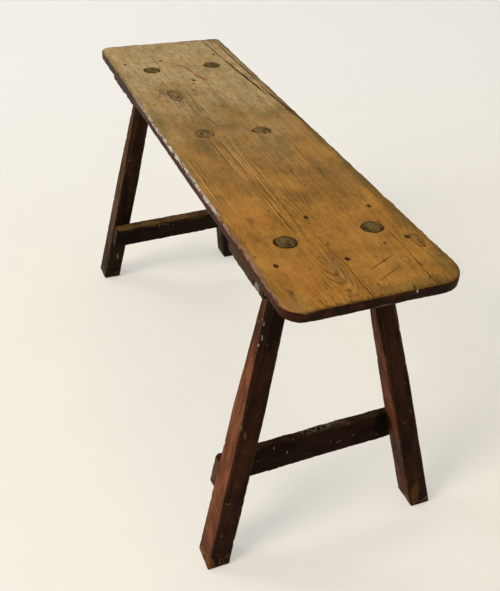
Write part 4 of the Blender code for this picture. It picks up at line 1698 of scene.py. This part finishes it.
@dataclass(frozen=True)
class Plug(Piece):
    """A round plug that fills an old hole in the seat."""

    slot = "plug_wood"
    dressing = ("plug",)

    node: str
    seed: int

    def mesh(self) -> Mesh:
        """A disc with an eased rim, its end grain a little uneven.

        Returns:
            The mesh.
        """
        centre, radius = seen_from_above(self.node)
        shares = np.array([0.96, 1, 1, 1, 1, 0.985, 0.95, 0.88, 0.75, 0.6, 0.45, 0.3, 0.16, 0.05])
        drops = np.array([-16.5, -16.1, -12, -6, -1.0, -0.5, -0.22, *(-0.1,) * 7]) * MM
        ragged = 1 - 0.012 * np.abs(ripple(circle(64), 1.3, self.seed))
        plan = circle(64)[None] * (shares * radius)[:, None, None] * ragged[None, :, None]
        rings = raised(plan + centre, drops + SIZES.seat_top)
        sunk = 0.0002 * (1 + ripple(plan.reshape(-1, 2), 0.02, self.seed + 1)).reshape(plan.shape[:2])
        rings[..., 2] -= np.where(rings[..., 2] > SIZES.seat_top - 0.002, np.maximum(sunk, 0), 0)
        shell = closed_loft(rings)
        offset = shell.points[:, :2] - centre
        shell.timber = np.concatenate([shell.points[:, 2:], offset + 0.02 * self.seed], axis=1)
        shell.arris = np.exp(-np.abs(np.linalg.norm(offset, axis=1) - radius) / 0.0011)
        return shell.mesh(self.name)


@dataclass(frozen=True)
class Cleat(Piece):
    """A rough cleat across the underside of the seat."""

    slot = "cleat_wood"
    dressing = ("cleat",)

    sizes: EndSizes
    seed: int

    @property
    def node(self) -> str:
        """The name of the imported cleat."""
        return self.sizes.name + "_cleat"

    def mesh(self) -> Mesh:
        """A board whose length lies across the bench.

        Returns:
            The mesh.
        """
        form = BoardForm(
            half_length=SIZES.seat_width / 2 - self.sizes.cleat_inset,
            half_width=self.sizes.cleat_breadth / 2,
            low=SIZES.cleat_under,
            high=SIZES.cleat_top,
            corner_radii=(0.008,) * 4,
            top_ease=0.0015,
            under_ease=0.0022,
            steps=(110, 60),
            unevenness=0.0007,
            seed=self.seed,
            raggedness=0.0016,
        )
        middle = Matrix.Translation((seen_from_above(self.node)[0][0], 0, 0))
        return form.shell().moved(middle @ Matrix.Rotation(math.pi / 2, 4, "Z")).mesh(self.name)


@dataclass(frozen=True)
class Stretcher(Piece):
    """A stretcher lapped on the inner faces of two legs."""

    slot = "stretcher_paint"
    dressing = ("stretcher",)

    sizes: EndSizes
    seed: int
    gap: float = 0.0003
    overhang: float = 0.001

    @property
    def node(self) -> str:
        """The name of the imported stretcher."""
        return self.sizes.name + "_stretcher"

    def inner_face(self, height: float) -> float:
        """X of the legs' inner faces at a height."""
        return float(self.sizes.axis(height)[0] - self.sizes.end.value * SIZES.leg_half(height)[0])

    def outer_face(self, height: float) -> float:
        """The reach of the right leg's outer face from the middle plane, at a height."""
        return float(self.sizes.axis(height)[1] + SIZES.leg_half(height)[1])

    def mesh(self) -> Mesh:
        """A board that lies on the legs.

        In its own frame X runs across the bench, Y up the slope of the legs and Z towards +X. Its ends
        follow the rake of the legs: X is scaled by the reach at each place up the slope.

        Returns:
            The mesh.
        """
        sizes = self.sizes
        start = Vector((self.inner_face(sizes.stretcher_height), 0, sizes.stretcher_height))
        top = Vector((self.inner_face(SIZES.shoulder), 0, SIZES.shoulder))
        up = (top - start).normalized()
        across = Vector((0, 1, 0))
        far_gap = self.gap + sizes.stretcher_thickness
        low, high = sorted(-sizes.end.value * depth for depth in (self.gap, far_gap))
        low_reach = self.outer_face(sizes.stretcher_height)
        high_reach = self.outer_face(sizes.stretcher_height + sizes.stretcher_depth * up.z)
        middle = (low_reach + high_reach) / 2 + self.overhang
        shell = BoardForm(
            half_length=middle,
            half_width=sizes.stretcher_depth / 2,
            low=low,
            high=high,
            corner_radii=(0.005,) * 4,
            top_ease=0.0024,
            under_ease=0.0024,
            steps=(170, 26),
            unevenness=0.0005,
            seed=self.seed,
            raggedness=0.0012,
        ).shell()
        x, y, z = shell.points.T
        x = x * (1 + (high_reach - low_reach) / sizes.stretcher_depth * y / middle)
        y = y + sizes.stretcher_depth / 2 + sizes.stretcher_rise / 2 * x / middle
        shell.points = np.stack([x, y, z], axis=1)
        turn = Matrix((across, up, across.cross(up))).transposed().to_4x4()
        return shell.moved(Matrix.Translation(start) @ turn).mesh(self.name)


@dataclass(frozen=True)
class Nail(Piece):
    """An old nail with a domed, dented head and a tapered shank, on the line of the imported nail."""

    slot = "nail_iron"
    dressing = ("iron",)

    packed: bpy.types.Object
    seed: int
    sunk: float
    head_radius: float = 0.0029

    @property
    def node(self) -> str:
        """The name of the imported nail."""
        return self.packed.name

    def line(self) -> tuple[Array, Array, float]:
        """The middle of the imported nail's head, the direction to its tip, and its length.

        The longest direction of its points is its line, and the end with the wider ring is its head.

        Returns:
            The three values.
        """
        points = np.empty(3 * len(self.packed.data.vertices), np.float32)
        self.packed.data.vertices.foreach_get("co", points)
        points = points.reshape(-1, 3).astype(float)
        middle = (points.max(axis=0) + points.min(axis=0)) / 2
        along = np.linalg.svd(points - points.mean(axis=0), full_matrices=False)[2][0]
        reach = (points - middle) @ along
        radial = np.linalg.norm(points - middle - reach[:, None] * along, axis=1)
        if radial[reach < reach.min() + 0.0005].max() > radial[reach > reach.max() - 0.0005].max():
            along, reach = -along, -reach
        head = points[reach > reach.max() - 0.0002].mean(axis=0)
        return head, -along, float(reach.max() - reach.min())

    def mesh(self) -> Mesh:
        """Rings with a radius for each depth below the head's top. The head's rim is dented.

        Returns:
            The mesh.
        """
        head, ahead, length = self.line()
        depths = np.array([0.06, 0.10, 0.18, 0.34, 0.60, 0.95, 1.25, 1.45, 1.6, 3.0, 10.0]) * MM
        depths = np.concatenate([depths, [length - self.sunk - 0.001, length - self.sunk]])
        shares = np.array([0.10, 0.40, 0.68, 0.88, 0.985, 1.0, 0.95, 0.62, 0.52, 0.50, 0.44, 0.26, 0.12])
        dented = 1 + 0.07 * ripple(circle(24), 1.0, self.seed)
        side = np.cross(ahead, [0.0, 1.0, 0.0] if abs(ahead[1]) < 0.8 else [1.0, 0.0, 0.0])
        side /= np.linalg.norm(side)
        spokes = (circle(24) * dented[:, None]) @ np.stack([side, np.cross(ahead, side)])
        radii = (self.head_radius * shares)[:, None, None]
        rings = head + (self.sunk + depths)[:, None, None] * ahead + radii * spokes
        hammered = 0.00012 * ripple(rings.reshape(-1, 3), 0.003, self.seed + 1).reshape(rings.shape[:2])
        rings = rings + np.maximum(hammered, 0)[..., None] * ahead
        return outward(closed_loft(rings[::-1]).mesh(self.name, 60))


@dataclass(frozen=True)
class Bench:
    """The whole bench."""

    finishes: Finishes
    nodes: Mapping[str, bpy.types.Object]
    plugs: tuple[str, str] = ("left_seat_plug", "right_seat_plug")

    def build(self) -> None:
        """Builds every piece in order."""
        nails = sorted(name for name in self.nodes if "_nail_" in name)
        pieces: list[Piece] = [Seat([name for name in nails if "_cleat_" in name], self.plugs)]
        pieces += [Plug(node, seed=3 + number) for number, node in enumerate(self.plugs)]
        for number, sizes in enumerate((NEAR, FAR)):
            pieces.append(Cleat(sizes, seed=21 + 10 * number))
            pieces += [Leg(sizes, side, seed=2 + 2 * number + place) for place, side in enumerate(Side)]
            pieces.append(Stretcher(sizes, seed=101 + 10 * number))
        for number, name in enumerate(nails):
            sunk = 0.0009 if "_cleat_" in name else 0.0001
            pieces.append(Nail(self.nodes[name], seed=300 + 3 * number, sunk=sunk))
        for piece in pieces:
            piece.build(self.finishes)


# Studio


def seen(tree: Tree) -> Wire:
    """What looks at a surface.

    Args:
        tree: The tree of the surface.

    Returns:
        1 for the camera, a reflection or a clear thing, and 0 for light.
    """
    sight = add_node(tree, "LightPath", {}).outputs
    camera, mirrored, clear = (Wire(sight[f"Is {kind} Ray"]) for kind in ("Camera", "Glossy", "Transmission"))
    return calc("MAXIMUM", camera, calc("MAXIMUM", mirrored, clear))


@dataclass(frozen=True)
class Studio:
    """The pale floor, the soft lights and the camera."""

    floor_colour: Colour = shade(243, 237, 225)
    floor_shade: Colour = shade(234, 228, 217)
    far_colour: Colour = shade(241, 240, 237)
    room_colour: Colour = shade(255, 250, 240)
    glow_colour: Colour = shade(255, 255, 250)
    floor_glow: float = 0.46
    room_light: float = 0.30
    room_seen: float = 0.92
    target: tuple[float, float, float] = (0, 0, 0.25)
    eye: tuple[float, float, float] = (1.0877, -0.4554, 1.0443)
    yaw: float = 65.92
    pitch: float = 36.09
    roll: float = 3.62
    lens: float = 48.231

    def add_floor(self) -> None:
        """The floor, which curves up into a backdrop far behind the bench."""
        turn = np.linspace(0, math.pi / 2, 25)
        far, rise, half_width = 3.2, 1.2, 9.0
        run = np.concatenate([[half_width, 1.0, 0.0, -1.6], rise - far - rise * np.sin(turn), [-far]])
        lift = np.concatenate([[0, 0, 0, 0], rise * (1 - np.cos(turn)), [4.0]])
        sides = np.array([-half_width, 0, half_width])
        grid = np.stack(np.broadcast_arrays(run[:, None], sides, lift[:, None]), axis=-1)
        place = np.arange(len(run) * 3).reshape(-1, 3)
        quads = np.stack([place[:-1, :-1], place[:-1, 1:], place[1:, 1:], place[1:, :-1]], axis=-1)
        mesh = bpy.data.meshes.new("floor")
        mesh.from_pydata(grid.reshape(-1, 3).tolist(), [], quads.reshape(-1, 4).tolist())
        mesh.shade_smooth()
        surface = Surface("floor")
        colour = mixed(surface.point.noise(3.0, 5, 0.6), self.floor_colour, self.floor_shade)
        colour = colour.toward(self.far_colour, surface.point.parts()[0].step(-0.2, -1.8))
        material = surface.finish(Base_Color=colour, Roughness=0.85)
        tree = material.node_tree
        glow = add_node(tree, "Emission", {"Color": mixed(0.5, colour, self.glow_colour)})
        lit, glowing = Wire(surface.shader.outputs[0]), Wire(glow.outputs[0])
        both = derived("MixShader", {0: seen(tree) * self.floor_glow, 1: lit, 2: glowing})
        feed(tree.nodes["Material Output"].inputs["Surface"], both)
        mesh.materials.append(material)
        floor = bpy.data.objects.new("floor", mesh)
        bpy.context.scene.collection.objects.link(floor)

    def add_light(self, name: str, place: Sequence[float], size: float, power: float, colour: Colour) -> None:
        """A square soft light that faces the bench.

        Args:
            name: Its name.
            place: Its angle round the bench from +X towards +Y, its angle over the floor and its distance.
            size: The length of its side.
            power: Its power in watts.
            colour: Its colour.
        """
        light = bpy.data.lights.new(name, "AREA")
        light.shape, light.size, light.energy, light.color = "SQUARE", size, power, colour[:3]
        turn, rise = math.radians(place[0]), math.radians(place[1])
        away = Vector((math.cos(turn) * math.cos(rise), math.sin(turn) * math.cos(rise), math.sin(rise)))
        lamp = bpy.data.objects.new(name, light)
        lamp.location = Vector(self.target) + away * place[2]
        lamp.rotation_euler = away.to_track_quat("Z", "Y").to_euler()
        bpy.context.scene.collection.objects.link(lamp)

    def add_world(self) -> None:
        """The light that fills the room, brighter where it is seen."""
        world = bpy.data.worlds.new("room")
        world.use_nodes = True
        back = world.node_tree.nodes["Background"].inputs
        feed(back["Color"], self.room_colour)
        shown = self.room_seen - self.room_light
        feed(back["Strength"], seen(world.node_tree).scaled(shown, self.room_light))
        bpy.context.scene.world = world

    def add_camera(self) -> None:
        """The camera, at the photograph's place and angle."""
        yaw, pitch, roll = (math.radians(angle) for angle in (self.yaw, self.pitch, self.roll))
        ahead = Vector((-math.sin(yaw) * math.cos(pitch), math.cos(yaw) * math.cos(pitch), -math.sin(pitch)))
        right = ahead.cross(Vector((0, 0, 1))).normalized()
        up = right.cross(ahead)
        turned_right = math.cos(roll) * right + math.sin(roll) * up
        turned_up = -math.sin(roll) * right + math.cos(roll) * up
        camera = bpy.data.objects.new("camera", bpy.data.cameras.new("camera"))
        camera.data.lens = self.lens
        camera.data.clip_start = 0.02
        matrix = Matrix((turned_right, turned_up, -ahead)).transposed().to_4x4()
        matrix.translation = self.eye
        camera.matrix_world = matrix
        bpy.context.scene.collection.objects.link(camera)
        bpy.context.scene.camera = camera

    def build(self) -> None:
        """Sets up the floor, the lights and the camera."""
        self.add_floor()
        self.add_light("left_window", (-76, 34, 12.0), 4.6, 1040, shade(255, 249, 240))
        self.add_light("back_window", (222, 38, 12.0), 4.0, 840, shade(238, 244, 255))
        self.add_light("ceiling", (180, 84, 6.0), 4.0, 60, self.room_colour)
        self.add_world()
        self.add_camera()
        bpy.context.scene.view_settings.view_transform = "Standard"


def main() -> None:
    """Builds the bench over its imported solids, then the studio round it."""
    logging.basicConfig(level=logging.INFO, format="%(name)s %(message)s")
    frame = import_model()
    nails = [name for name in sorted(frame["nodes"]) if "_cleat_nail_" in name]
    finishes = Finishes([tuple(seen_from_above(name)[0].tolist()) for name in nails])
    Bench(finishes, frame["nodes"]).build()
    Studio().build()


if __name__ == "__main__":
    main()
